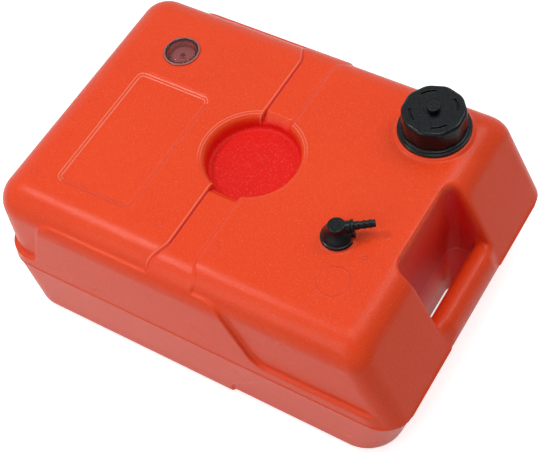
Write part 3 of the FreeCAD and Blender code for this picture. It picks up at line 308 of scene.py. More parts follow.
def lathe(corners: Sequence[tuple[float, float, float]], steps: int = 96,
          closed: bool = False) -> Mesh:
    """Turns an outline about +Z.

    Args:
        corners: Radius, height and rounding of each corner, in metres.
        steps: Number of steps round the axis.
        closed: Whether the outline closes on itself, as on a ring.

    Returns:
        A closed mesh with its axis on the origin.
    """
    mesh = bmesh.new()
    verts = [mesh.verts.new((radius, 0.0, height)) for radius, height, _ in corners]
    for start, end in zip(verts, verts[1:]):
        if start.co.x > 0.0 or end.co.x > 0.0:
            mesh.edges.new((start, end))
    if closed:
        mesh.edges.new((verts[-1], verts[0]))
    for vert, (_, _, rounding) in zip(verts, corners):
        if rounding > 0.0:
            bmesh.ops.bevel(mesh, geom=[vert], offset=rounding, offset_type="OFFSET", segments=4,
                            profile=0.5, affect="VERTICES", material=-1)
    bmesh.ops.spin(mesh, geom=mesh.edges[:], cent=(0, 0, 0), axis=(0, 0, 1), angle=math.tau,
                   steps=steps, use_merge=True, use_duplicate=False)
    bmesh.ops.remove_doubles(mesh, verts=mesh.verts, dist=1e-6)
    bmesh.ops.recalc_face_normals(mesh, faces=mesh.faces)
    return mesh


def as_object(name: str, mesh: Mesh, place: Matrix | None = None) -> Piece:
    """Makes an object from a mesh, with its place in the mesh and smooth shading.

    Args:
        name: The object's name.
        mesh: The mesh, which is freed.
        place: Where the mesh goes.

    Returns:
        The object, linked to the scene.
    """
    if place is not None:
        bmesh.ops.transform(mesh, matrix=place, verts=mesh.verts)
    for face in mesh.faces:
        face.smooth = True
    for edge in mesh.edges:
        edge.smooth = edge.calc_face_angle(0.0) < math.radians(CRISP_DEGREES)
    data = bpy.data.meshes.new(name)
    mesh.to_mesh(data)
    mesh.free()
    piece = bpy.data.objects.new(name, data)
    bpy.context.scene.collection.objects.link(piece)
    return piece


def baked(piece: Piece) -> Piece:
    """Applies a piece's modifiers to its mesh.

    Args:
        piece: The object, whose modifiers are removed.

    Returns:
        The same object.
    """
    graph = bpy.context.evaluated_depsgraph_get()
    data = bpy.data.meshes.new_from_object(piece.evaluated_get(graph))
    piece.modifiers.clear()
    piece.data = data
    return piece


def combine(piece: Piece, other: Mesh, operation: str,
            place: Matrix | None = None) -> None:
    """Cuts a second shape out of a piece or joins it on.

    Args:
        piece: The object to change.
        other: Closed mesh of the second shape, which is freed.
        operation: "DIFFERENCE" or "UNION".
        place: Where the second shape goes.
    """
    tool = as_object(piece.name + "_tool", other, place)
    change = piece.modifiers.new("change", "BOOLEAN")
    change.operation = operation
    change.solver = "EXACT"
    change.object = tool
    baked(piece)
    bpy.data.objects.remove(tool)


def absorb(mesh: Mesh, other: Mesh) -> None:
    """Adds a second mesh's faces to a mesh.

    Args:
        mesh: The mesh that grows.
        other: The second mesh, which is freed.
    """
    data = bpy.data.meshes.new("absorbed")
    other.to_mesh(data)
    other.free()
    mesh.from_mesh(data)
    bpy.data.meshes.remove(data)


def block(size: tuple[float, float, float]) -> Mesh:
    """Makes a box on the origin.

    Args:
        size: Its length along X, Y and Z.

    Returns:
        The box's mesh.
    """
    mesh = bmesh.new()
    bmesh.ops.create_cube(mesh, size=1.0)
    bmesh.ops.scale(mesh, verts=mesh.verts, vec=size)
    return mesh


def merged_copy(name: str, node: str) -> Mesh:
    """Copies a frame node's mesh with its doubles merged.

    Args:
        name: Name for messages.
        node: The frame node.

    Returns:
        The merged mesh.
    """
    mesh = bmesh.new()
    mesh.from_mesh(frame["nodes"][node].data)
    bmesh.ops.remove_doubles(mesh, verts=mesh.verts, dist=1e-6)
    LOG.info("%s: copied %s, %d faces", name, node, len(mesh.faces))
    return mesh


def eased(share: float) -> float:
    """Turns a straight rise to a smooth one.

    Args:
        share: How far the rise has come.

    Returns:
        A number from 0 to 1.
    """
    share = max(0.0, min(1.0, share))
    return share * share * (3.0 - 2.0 * share)


def on_axis(axis: tuple[float, float], height: float = 0.0) -> Matrix:
    """Finds a place on one of the tank's upright axes.

    Args:
        axis: Its x and y in millimetres.
        height: The place's height in metres.

    Returns:
        The move from the origin to the place.
    """
    return Matrix.Translation((axis[0] * MM, axis[1] * MM, height))


def soften(piece: Piece, grid: float, easing: int) -> Piece:
    """Gives a piece one smooth skin with small moulded roundings.

    Args:
        piece: The object.
        grid: Size of the skin's faces.
        easing: Steps of smoothing.

    Returns:
        The same object.
    """
    remesh = piece.modifiers.new("skin", "REMESH")
    remesh.mode = "VOXEL"
    remesh.voxel_size = grid
    remesh.use_smooth_shade = True
    ease = piece.modifiers.new("ease", "SMOOTH")
    ease.factor = 0.5
    ease.iterations = easing
    return baked(piece)


def finish_piece(piece: Piece, material: Finish, body: Body,
                 replaces: Iterable[str] = ()) -> None:
    """Gives a piece its material and ties it to the frame.

    Args:
        piece: The object.
        material: Its finish.
        body: The body that it moves with.
        replaces: Frame nodes that it stands for.
    """
    piece.data.materials.clear()
    piece.data.materials.append(material)
    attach(piece, body.value)
    if replaces:
        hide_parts(*replaces)
    LOG.info("%s: %d faces", piece.name, len(piece.data.polygons))


# --- Finishes -------------------------------------------------------------------------------------
@dataclass(frozen=True)
class MouldMarks:
    """Fine lines that the mould leaves on the tank, and where the painted shade of the pocket and
    the recess reaches, all sizes in millimetres. A fade holds its start and where it is full."""

    foot_line_z: float = 17.0
    foot_line_x: tuple[float, float] = (-205.0, 20.0)
    foot_line_y: float = -150.0
    top_z: float = 202.0
    disc: tuple[float, float, float] = (145.0, -99.0, 17.0)      # x, y and radius
    rings: tuple[tuple[float, float, float], ...] = (
        (-210.0, -122.0, 3.2), (-50.0, -117.0, 3.6), (20.0, -118.0, 3.6), (160.0, -62.0, 2.4))
    label: tuple[float, float, float, float] = (-137.0, -36.2, 46.5, 81.8)   # middle, half sizes
    label_corner: float = 8.0
    label_step: float = 3.2
    label_ramp: float = 0.7
    width: float = 1.1          # the real lines are about 0.5 mm, drawn wider so that they show
    bowl: tuple[float, float, float] = (-9.0, 0.0, 50.0)
    bowl_fade: tuple[float, float] = (9.0, 2.0)
    bowl_top_fade: tuple[float, float] = (3.0, -7.0)
    pocket_half: float = 61.0
    pocket_fade: tuple[float, float] = (4.0, 16.0)
    pocket_back_fade: tuple[float, float] = (-3.0, 2.0)
    pocket_top_fade: tuple[float, float] = (3.0, -9.0)
    bar_back_fade: tuple[float, float] = (1.0, -2.0)
    bar_top_fade: tuple[float, float] = (2.0, 7.0)
    lip: tuple[float, float] = (58.4, 55.4)
    lip_lean: float = 0.5
    lip_fade: tuple[float, float] = (-15.0, 20.0)
    lip_depth: float = 4.0
    lip_half_band: tuple[float, float] = (17.0, 19.5)
    # The band's bright line gets a painted highlight; its edge and fold get painted shade.
    band: tuple[float, float, float] = (-28.8, -26.4, 8.0)       # bright line, edge and fold
    band_low: tuple[float, float] = (192.0, 199.0)
    flare: tuple[float, float, float] = (132.0, 160.0, 11.0)     # start, end and spread


@dataclass(frozen=True)
class MarkShades:
    """How strongly each mark gets painted highlight, painted shade or raised relief, from 0 to 1."""

    frame_glint: float = 0.5
    frame_shade: float = 0.4
    ring_shade: float = 0.3
    lip_glint: float = 0.4
    band_shade: float = 0.85
    band_glint: float = 0.4
    fold_shade: float = 0.45
    seam_glint: float = 0.2
    seam_height: float = 0.5
    pocket_glint: float = 0.3
    pocket_seam_scale: float = 0.6      # of its distance, which makes the line wider
    foot_shade: float = 0.3


class MarkNodes(FinishNodes):
    """Nodes of the tank's finish, with the marks that the mould leaves and the painted highlights
    and shade along them.
    """

    def __init__(self, name: str) -> None:
        """Starts an empty finish with the point's x, y and z.

        Args:
            name: The finish's name.
        """
        super().__init__(name)
        axes = self.add("ShaderNodeSeparateXYZ", {"Vector": self.place})
        self.x, self.y, self.z = (axes.outputs[axis] for axis in "XYZ")
        self.plan = self.add("ShaderNodeVectorMath", {0: self.place, 1: (1.0, 1.0, 0.0)},
                             operation="MULTIPLY").outputs["Vector"]
        self.marks = MouldMarks()
        self.shades = MarkShades()
        self.on_top = self.math("GREATER_THAN", self.z, self.marks.top_z * MM)

    def line_at(self, distance: Socket) -> Socket:
        """Turns a distance in metres to a soft line, 1 on the line and 0 beside it.

        Args:
            distance: Distance from the line, of either sign.

        Returns:
            The line's strength.
        """
        return self.add("ShaderNodeMapRange", {
            "Value": self.math("ABSOLUTE", distance), "From Min": 0.0,
            "From Max": self.marks.width * MM, "To Min": 1.0, "To Max": 0.0},
            interpolation_type="SMOOTHSTEP").outputs["Result"]

    def away_from(self, x: float, y: float) -> Socket:
        """Measures the level distance from an upright axis.

        Args:
            x: Its x in millimetres.
            y: Its y in millimetres.

        Returns:
            The distance in metres.
        """
        return self.add("ShaderNodeVectorMath", {0: self.plan, 1: (x * MM, y * MM, 0.0)},
                        operation="DISTANCE").outputs["Value"]

    def ring_at(self, x: float, y: float, radius: float) -> Socket:
        """Makes a round mark on the top.

        Args:
            x: Its middle's x in millimetres.
            y: Its middle's y in millimetres.
            radius: Its radius in millimetres.

        Returns:
            The line's strength.
        """
        return self.line_at(self.math("SUBTRACT", self.away_from(x, y), radius * MM))

    def border(self) -> Socket:
        """Measures how far a point lies outside the label field.

        Returns:
            The distance in metres, below 0 inside the field.
        """
        mid_x, mid_y, half_x, half_y = self.marks.label
        corner = self.marks.label_corner
        over = []
        for value, middle, half in ((self.x, mid_x, half_x), (self.y, mid_y, half_y)):
            off = self.math("ABSOLUTE", self.math("SUBTRACT", value, middle * MM))
            over.append(self.math("SUBTRACT", off, (half - corner) * MM))
        over_x, over_y = (self.math("MAXIMUM", length, 0.0) for length in over)
        outside = self.add("ShaderNodeCombineXYZ", {"X": over_x, "Y": over_y, "Z": 0.0})
        away = self.add("ShaderNodeVectorMath", {0: outside.outputs["Vector"]},
                        operation="LENGTH").outputs["Value"]
        within = self.math("MINIMUM", self.join(*over), 0.0)
        return self.math("SUBTRACT", self.math("ADD", away, within), corner * MM)

    def pocket(self) -> Socket:
        """Finds the hand pocket's walls, without the bar.

        Returns:
            1 on the walls and 0 elsewhere.
        """
        marks = self.marks
        rise = self.math("MULTIPLY", self.math("SUBTRACT", self.z, PARTING_Z * MM),
                         math.tan(math.radians(END_SLOPE)))
        depth = self.math("SUBTRACT", END_X * MM, self.math("ADD", self.x, rise))
        behind_bar = self.ramp(self.x, *(BAR_X + more for more in marks.bar_back_fade))
        above_bar = self.ramp(self.z, *(BAR_TOP_Z + more for more in marks.bar_top_fade))
        return self.keep(
            self.ramp(depth, *marks.pocket_fade),
            self.ramp(self.x, *(POCKET_X + more for more in marks.pocket_back_fade)),
            self.math("LESS_THAN", self.math("ABSOLUTE", self.y), marks.pocket_half * MM),
            self.ramp(self.z, *(marks.top_z + more for more in marks.pocket_top_fade)),
            self.join(behind_bar, above_bar))

    def recess(self) -> Socket:
        """Finds the round recess in the top.

        Returns:
            1 in the recess and 0 elsewhere.
        """
        marks = self.marks
        x, y, radius = marks.bowl
        across = self.ramp(self.away_from(x, y), *(radius + more for more in marks.bowl_fade))
        down = self.ramp(self.z, *(marks.top_z + more for more in marks.bowl_top_fade))
        return self.keep(across, down)

    def label_lines(self) -> tuple[Socket, ...]:
        """Draws the label field's frame, with a painted highlight on its far sides and painted shade
        on its near ones.

        Returns:
            The step's height, the painted highlight line and the painted shade line.
        """
        marks = self.marks
        mid_x, mid_y, half_x, half_y = marks.label
        border = self.border()
        inner = self.math("ADD", border, marks.label_step * MM)
        rises = [self.ramp(edge, -marks.label_ramp, marks.label_ramp) for edge in (border, inner)]
        step = self.keep(self.math("ADD", *rises), self.on_top)
        outer_line = self.line_at(border)
        both = self.join(outer_line, self.line_at(inner))
        # The far sides, which face the lamps, get the painted highlight, and the near sides get
        # painted shade.
        far_x = (mid_x - half_x + marks.label_corner) * MM
        far_y = (mid_y + half_y - marks.label_corner) * MM
        sunny = self.join(self.math("LESS_THAN", self.x, far_x),
                          self.math("GREATER_THAN", self.y, far_y))
        shady = self.math("SUBTRACT", 1.0, sunny)
        return (step, self.keep(both, self.on_top, sunny, self.shades.frame_glint),
                self.keep(outer_line, self.on_top, shady, self.shades.frame_shade))

    def lip_lines(self) -> Socket:
        """Draws the rings on the far side of the round recess's lip, outside the band.

        Returns:
            The lines' strength.
        """
        marks = self.marks
        x, y, _ = marks.bowl
        away = self.math("SUBTRACT", self.y, self.math("MULTIPLY", self.x, marks.lip_lean))
        from_middle = self.math("ABSOLUTE", self.math("SUBTRACT", self.x, x * MM))
        return self.keep(
            self.join(*(self.ring_at(x, y, radius) for radius in marks.lip)),
            self.ramp(away, *marks.lip_fade),
            self.math("GREATER_THAN", self.z, (marks.top_z - marks.lip_depth) * MM),
            self.ramp(from_middle, *marks.lip_half_band))

    def band_lines(self) -> list[Socket]:
        """Draws the strap band's edges, which spread where the band turns down the walls.

        Returns:
            The left edge, the bright line beside it and the fold on the right.
        """
        marks = self.marks
        start, finish, spread = marks.flare
        turned = self.ramp(self.math("ABSOLUTE", self.y), start, finish)
        flare = self.math("MULTIPLY", spread * MM, turned)
        left = self.math("ADD", self.x, flare)
        right = self.math("SUBTRACT", self.x, flare)
        high = self.ramp(self.z, *marks.band_low)
        bright_x, left_x, right_x = marks.band
        return [self.keep(self.line_at(self.math("SUBTRACT", side, edge_x * MM)), high)
                for side, edge_x in ((left, left_x), (left, bright_x), (right, right_x))]

    def foot_line(self) -> Socket:
        """Draws the line along the foot of the near wall.

        Returns:
            The line's strength.
        """
        marks = self.marks
        start, finish = marks.foot_line_x
        return self.keep(
            self.line_at(self.math("SUBTRACT", self.z, marks.foot_line_z * MM)),
            self.math("LESS_THAN", self.y, marks.foot_line_y * MM),
            self.math("GREATER_THAN", self.x, start * MM),
            self.math("LESS_THAN", self.x, finish * MM))

    def lines(self) -> tuple[Socket, ...]:
        """Draws every mark.

        Returns:
            The strength of raised lines, of the label field's step, of painted highlight lines and
            of painted shade lines, each from 0 to 1.
        """
        marks, shades = self.marks, self.shades
        step, frame_lit, frame_shaded = self.label_lines()
        circles = [self.ring_at(*ring) for ring in (marks.disc, *marks.rings)]
        rings = self.keep(self.join(*circles), self.on_top)
        lip = self.lip_lines()
        edge, glint, fold = self.band_lines()
        foot = self.foot_line()
        above_seam = self.math("SUBTRACT", self.z, PARTING_Z * MM)
        seam = self.line_at(above_seam)
        pocket_seam = self.line_at(self.keep(above_seam, shades.pocket_seam_scale))
        raised = self.join(rings, lip, self.keep(seam, shades.seam_height), foot)
        # Painted highlights along the label frame, the recess lip, the band's bright line, the
        # parting seam and the pocket's seam.
        lit = self.join(frame_lit, self.keep(lip, shades.lip_glint),
                        self.keep(glint, shades.band_glint), self.keep(seam, shades.seam_glint),
                        self.keep(pocket_seam, self.pocket(), shades.pocket_glint))
        # Painted shade along the label frame's near sides, the round marks, the band's step and
        # fold, and the foot line.
        deep = self.join(frame_shaded, self.keep(rings, shades.ring_shade),
                         self.keep(edge, shades.band_shade), self.keep(fold, shades.fold_shade),
                         self.keep(foot, shades.foot_shade))
        return raised, step, lit, deep


@dataclass(frozen=True)
class BlownPolyethylene:
    """High-density polyethylene, blown against a sand-blasted mould.

    It looks waxy and slightly soft: satin with a sandy grain, fine bright specks, and a broad
    sheen on round edges. The mould's marks are thin raised lines; painted highlights lighten some
    of them, painted shade deepens others, and painted shade deepens the red in the hand pocket
    and the round recess.
    """

    base: str = "ee4b1f"
    deep: str = "e8421a"
    sand: str = "dc3613"
    fleck: str = "f8805a"
    # Painted shade: the deeper red of the deep lines, along the band's step and fold, the label
    # frame's near sides, the round marks and the foot line.
    line: str = "cc1820"
    # Painted highlight: the lighter colour of the lit lines.
    lit: str = "ff9a80"
    # Painted shade: a deeper red laid on the hand pocket's walls and in the round recess, where the
    # tank is darker from shade and from red light bouncing between its walls.
    hollow_shade: str = "df0c0e"
    roughness: float = 0.26
    cloud_mm: float = 80.0
    grain_mm: float = 1.5       # real blasting is about 0.5 mm, drawn coarser so that it shows
    fleck_mm: float = 1.2
    grain_relief: tuple[float, float] = (0.8, 0.3)      # strength, and depth in millimetres
    line_relief: tuple[float, float] = (0.8, 0.45)
    step_relief: tuple[float, float] = (0.5, 0.4)
    sand_range: tuple[float, float] = (0.5, 0.3)        # where the noise starts and is full
    fleck_range: tuple[float, float] = (0.6, 0.78)
    sand_share: float = 0.45
    fleck_share: float = 0.45
    hollow_shade_share: float = 0.94
    hollow_dulling: float = 0.25

    def material(self) -> Finish:
        """Builds the finish."""
        nodes = MarkNodes("blown_polyethylene_red")
        cloud = nodes.noise(nodes.place, self.cloud_mm, 3.0)
        grain = nodes.noise(nodes.place, self.grain_mm, 2.0, 0.65)
        speck = nodes.noise(nodes.place, self.fleck_mm, 1.0)
        # Where the painted shade of the pocket and the recess goes; the same mask also dulls the
        # gloss there.
        hollow_shade = nodes.join(nodes.pocket(), nodes.recess())
        raised, step, lit, deep = nodes.lines()
        layers = ((nodes.remap(grain, self.sand_range, (0.0, self.sand_share)), self.sand),
                  (nodes.keep(hollow_shade, self.hollow_shade_share), self.hollow_shade),
                  (nodes.remap(speck, self.fleck_range, (0.0, self.fleck_share)), self.fleck),
                  (lit, self.lit), (deep, self.line))
        colour = nodes.blend(cloud, linear(self.deep), linear(self.base))
        for share, tint in layers:
            colour = nodes.blend(share, colour, linear(tint))
        relief = nodes.bump(grain, *self.grain_relief)
        relief = nodes.bump(raised, *self.line_relief, relief)
        relief = nodes.bump(step, *self.step_relief, relief)
        satin = nodes.remap(cloud, (0.0, 1.0), (self.roughness - 0.03, self.roughness + 0.04))
        dull = nodes.math("ADD", satin, nodes.keep(hollow_shade, self.hollow_dulling))
        return nodes.surface({"Base Color": colour, "Roughness": dull, "IOR": 1.54,
                              "Specular IOR Level": 0.18, "Normal": relief})


@dataclass(frozen=True)
class MouldedPlastic:
    """Injection-moulded plastic: smooth satin with a fine spark-eroded grain and faint handling
    marks that change its gloss."""

    label: str
    base: str
    worn: str
    roughness: float
    gloss_level: float = 0.4
    grain_mm: float = 1.1       # real spark erosion is about 0.1 mm, drawn coarser so that it shows
    relief_mm: float = 0.14
    mottle: float = 0.2         # how far the grain varies the gloss
    smear_mm: float = 11.0

    def material(self) -> Finish:
        """Builds the finish."""
        nodes = FinishNodes(self.label)
        smear = nodes.noise(nodes.place, self.smear_mm, 5.0, 0.65)
        grain = nodes.noise(nodes.place, self.grain_mm, 2.0)
        gloss = nodes.remap(smear, (0.3, 0.7), (self.roughness - 0.06, self.roughness + 0.08))
        sheen = nodes.remap(grain, (0.35, 0.65), (self.gloss_level * (1.0 - self.mottle),
                                                  self.gloss_level * (1.0 + self.mottle)))
        return nodes.surface({
            "Base Color": nodes.blend(smear, linear(self.base), linear(self.worn)),
            "Roughness": gloss, "IOR": 1.5, "Specular IOR Level": sheen,
            "Normal": nodes.bump(grain, 0.5, self.relief_mm)})


@dataclass(frozen=True)
class ClearPolycarbonate:
    """Clear polycarbonate, moulded: a glossy skin over a faint dark rose tint from the float well.

    It is see-through by its alpha, so that the dial under it is lit evenly.
    """

    tint: str = "843c3e"
    roughness: float = 0.05
    haze: float = 0.14
    cloud_mm: float = 6.0

    def material(self) -> Finish:
        """Builds the finish."""
        nodes = FinishNodes("clear_polycarbonate")
        cloud = nodes.noise(nodes.place, self.cloud_mm, 4.0)
        gloss = nodes.remap(cloud, (0.0, 1.0), (self.roughness / 2, self.roughness * 2))
        return nodes.surface({"Base Color": linear(self.tint), "Roughness": gloss, "IOR": 1.58,
                              "Alpha": self.haze, "Specular IOR Level": 1.0})


@dataclass(frozen=True)
class DrawnMetal:
    """Drawn steel or brass wire and strip: fine lines along its length."""

    label: str
    base: str
    roughness: float = 0.3
    line_mm: float = 0.4

    def material(self) -> Finish:
        """Builds the finish."""
        nodes = FinishNodes(self.label)
        lines = nodes.add("ShaderNodeMapping", {"Vector": nodes.place, "Scale": (1.0, 1.0, 0.05)})
        brush = nodes.noise(lines.outputs["Vector"], self.line_mm, 3.0)
        gloss = nodes.remap(brush, (0.0, 1.0), (self.roughness - 0.08, self.roughness + 0.1))
        return nodes.surface({"Base Color": linear(self.base), "Metallic": 1.0,
                              "Roughness": gloss})


# --- Tank -----------------------------------------------------------------------------------------
@dataclass
class TankShell:
    """The blown tank: the frame's walls with every edge rounded as blown plastic is."""

    grid: float = 1.15 * MM
    easing: int = 7
    roll_steps: int = 45
    bar_steps: int = 14
    triangles: int = 190_000
    well_floor: float = 190.0 * MM
    gauge_floor: float = 8.0 * MM      # below the float's guide, so the float meets no wall
    well_wall: float = 7.0 * MM
    well_base: float = 3.0 * MM
    well_lip: float = 5.0 * MM
    neck: tuple[float, float, float] = (*CAP_AXIS, 23.0)        # x, y and radius, in millimetres
    gauge: tuple[float, float, float] = (*GAUGE_AXIS, 16.4)
    outlet: tuple[float, float, float] = (*OUTLET_AXIS, 3.0)
    top: float = 208.0 * MM
    parting: float = PARTING_Z * MM
    end: float = END_X * MM
    pocket_wall: float = POCKET_X * MM
    pocket_half: float = 58.5 * MM
    bar_inner: float = BAR_X * MM
    bar_top: float = BAR_TOP_Z * MM
    bar_centre: tuple[float, float] = (234.0 * MM, 95.5 * MM)
    bar_radii: tuple[float, float] = (16.3 * MM, 27.0 * MM)
    bar_fullness: float = 0.9
    bar_swell: float = 3.6 * MM
    bar_swell_depth: float = 25.0 * MM
    bar_end_fade: float = 16.0 * MM
    label_depth: float = 0.45 * MM
    label_half_step: float = 0.8 * MM
    roll: float = 9.0 * MM
    roll_reach: float = 1.7         # in rolls, from the rim to where the rounding ends
    rim_rise: tuple[float, float] = (6.0 * MM, 12.0 * MM)       # start and length of a fade
    bar_rise: tuple[float, float] = (3.0 * MM, 15.0 * MM)
    bar_back: tuple[float, float] = (6.0 * MM, 5.0 * MM)
    bar_over: float = 4.0 * MM
    bar_ends: float = 10.0 * MM
    margin: float = 2.0 * MM

    def well(self, place: tuple[float, float, float], floor: float) -> Mesh:
        """Makes a cup that closes a hole from inside and leaves it open from above.

        Args:
            place: The hole's x, y and radius in millimetres.
            floor: Height of the cup's floor.

        Returns:
            The cup's mesh.
        """
        x, y, radius = (size * MM for size in place)
        lip = self.top - self.well_lip
        cup = lathe([(0.0, floor - self.well_base, 0.0),
                     (radius + self.well_wall, floor - self.well_base, 0.0),
                     (radius + self.well_wall, lip, 0.0), (radius, lip, 0.0),
                     (radius, floor, 0.0), (0.0, floor, 0.0)], 64)
        bmesh.ops.translate(cup, verts=cup.verts, vec=(x, y, 0.0))
        return cup

    def rim_at(self, point: Vector) -> float:
        """Says how strongly the hand pocket's rim is rolled over near a point.

        Args:
            point: A point on the skin.

        Returns:
            A weight from 0 to 1.
        """
        slope = math.radians(END_SLOPE)
        face = (point.x - self.end + (point.z - self.parting) * math.tan(slope)) * math.cos(slope)
        outside = abs(max(point.z - self.top, face))
        beside = abs(max(abs(point.y) - self.pocket_half, self.pocket_wall - point.x))
        start, length = self.rim_rise
        above = (point.z - self.parting - start) / length
        return max(0.0, min(1.0, above, self.roll_reach - max(outside, beside) / self.roll))

    def bar_at(self, point: Vector) -> float:
        """Says how strongly the handle bar is rounded near a point.

        Args:
            point: A point on the skin.

        Returns:
            A weight from 0 to 1, highest on the upper half of the bar.
        """
        start, length = self.bar_rise
        behind, depth = self.bar_back
        return max(0.0, min(1.0, (point.z - self.parting - start) / length,
                            (self.bar_top + self.bar_over - point.z) / self.bar_over,
                            (point.x - self.bar_inner + behind) / depth,
                            (self.pocket_half - abs(point.y)) / self.bar_ends))

    def press_label(self, piece: Piece) -> None:
        """Sinks the label field a little into the top, in two small steps.

        Args:
            piece: The tank.
        """
        marks = MouldMarks()
        mid_x, mid_y, half_x, half_y = (value * MM for value in marks.label)
        corner = marks.label_corner * MM
        for vert in piece.data.vertices:
            x, y, z = vert.co
            off_x, off_y = abs(x - mid_x), abs(y - mid_y)
            if z < self.top - self.margin or off_x > half_x + MM or off_y > half_y + MM:
                continue
            over_x, over_y = off_x - half_x + corner, off_y - half_y + corner
            border = (math.hypot(max(over_x, 0.0), max(over_y, 0.0)) + min(max(over_x, over_y), 0.0)
                      - corner)
            half = self.label_half_step
            for start in (0.0, -marks.label_step * MM):
                vert.co.z -= self.label_depth * eased((start + half - border) / (2 * half))

    def round_bar(self, piece: Piece) -> None:
        """Gives the handle bar its oval section above the parting line.

        Args:
            piece: The tank.
        """
        middle, height = self.bar_centre
        wide, tall = self.bar_radii
        foot = self.parting - self.bar_swell_depth
        for vert in piece.data.vertices:
            x, y, z = vert.co
            if x < self.bar_inner - 5 * MM or z < foot or z > self.bar_top + self.margin:
                continue
            hold = eased((self.pocket_half - abs(y)) / self.bar_end_fade)
            if z >= height:
                angle = math.atan2((z - height) / tall, (x - middle) / wide)
                across, up = math.cos(angle), max(0.0, math.sin(angle))
                across = math.copysign(abs(across) ** self.bar_fullness, across)
                up **= self.bar_fullness
                target = Vector((middle + wide * across, y, height + tall * up))
                vert.co = vert.co.lerp(target, hold)
            elif x < middle:
                fade = (z - foot) / (height - foot)
                vert.co.x -= self.bar_swell * hold * fade * fade

    def ease_group(self, piece: Piece, name: str, weigh: Callable[[Vector], float],
                   steps: int) -> None:
        """Smooths one region of the skin, fading out at its border.

        Args:
            piece: The tank.
            name: The region's name.
            weigh: Gives each point's weight.
            steps: Steps of smoothing.
        """
        group = piece.vertex_groups.new(name=name)
        for vert in piece.data.vertices:
            if vert.co.x > self.pocket_wall - 2 * self.roll:
                weight = weigh(vert.co)
                if weight > 0.0:
                    group.add([vert.index], weight, "REPLACE")
        ease = piece.modifiers.new(name, "SMOOTH")
        ease.factor = 0.5
        ease.iterations = steps
        ease.vertex_group = group.name

    def outer_skin(self, piece: Piece) -> Piece:
        """Keeps the outer of the skins that the closed holes leave.

        Args:
            piece: The object with an outer and an inner skin.

        Returns:
            The object that holds the outer skin.
        """
        bpy.ops.object.select_all(action="DESELECT")
        bpy.context.view_layer.objects.active = piece
        piece.select_set(True)
        bpy.ops.mesh.separate(type="LOOSE")
        skins = sorted(bpy.context.selected_objects, key=lambda skin: skin.dimensions.length)
        for skin in skins[:-1]:
            bpy.data.objects.remove(skin)
        skins[-1].name = "tank_shell"
        skins[-1].select_set(False)
        return skins[-1]

    def build(self, finish: Finish) -> None:
        """Builds and dresses the shell.

        Args:
            finish: The tank's plastic.
        """
        mesh = merged_copy("tank_shell", "tank_body")
        for place, floor in ((self.neck, self.well_floor), (self.gauge, self.gauge_floor),
                             (self.outlet, self.well_floor)):
            absorb(mesh, self.well(place, floor))
        piece = soften(as_object("tank_shell", mesh), self.grid, self.easing)
        LOG.info("tank_shell: skins of %d faces", len(piece.data.polygons))
        piece = self.outer_skin(piece)
        self.press_label(piece)
        self.round_bar(piece)
        self.ease_group(piece, "bar", self.bar_at, self.bar_steps)
        self.ease_group(piece, "rim", self.rim_at, self.roll_steps)
        thin = piece.modifiers.new("thin", "DECIMATE")
        thin.ratio = min(1.0, self.triangles / (2 * len(piece.data.polygons)))
        baked(piece)
        piece.vertex_groups.clear()
        finish_piece(piece, finish, Body.TANK, ["tank_body"])


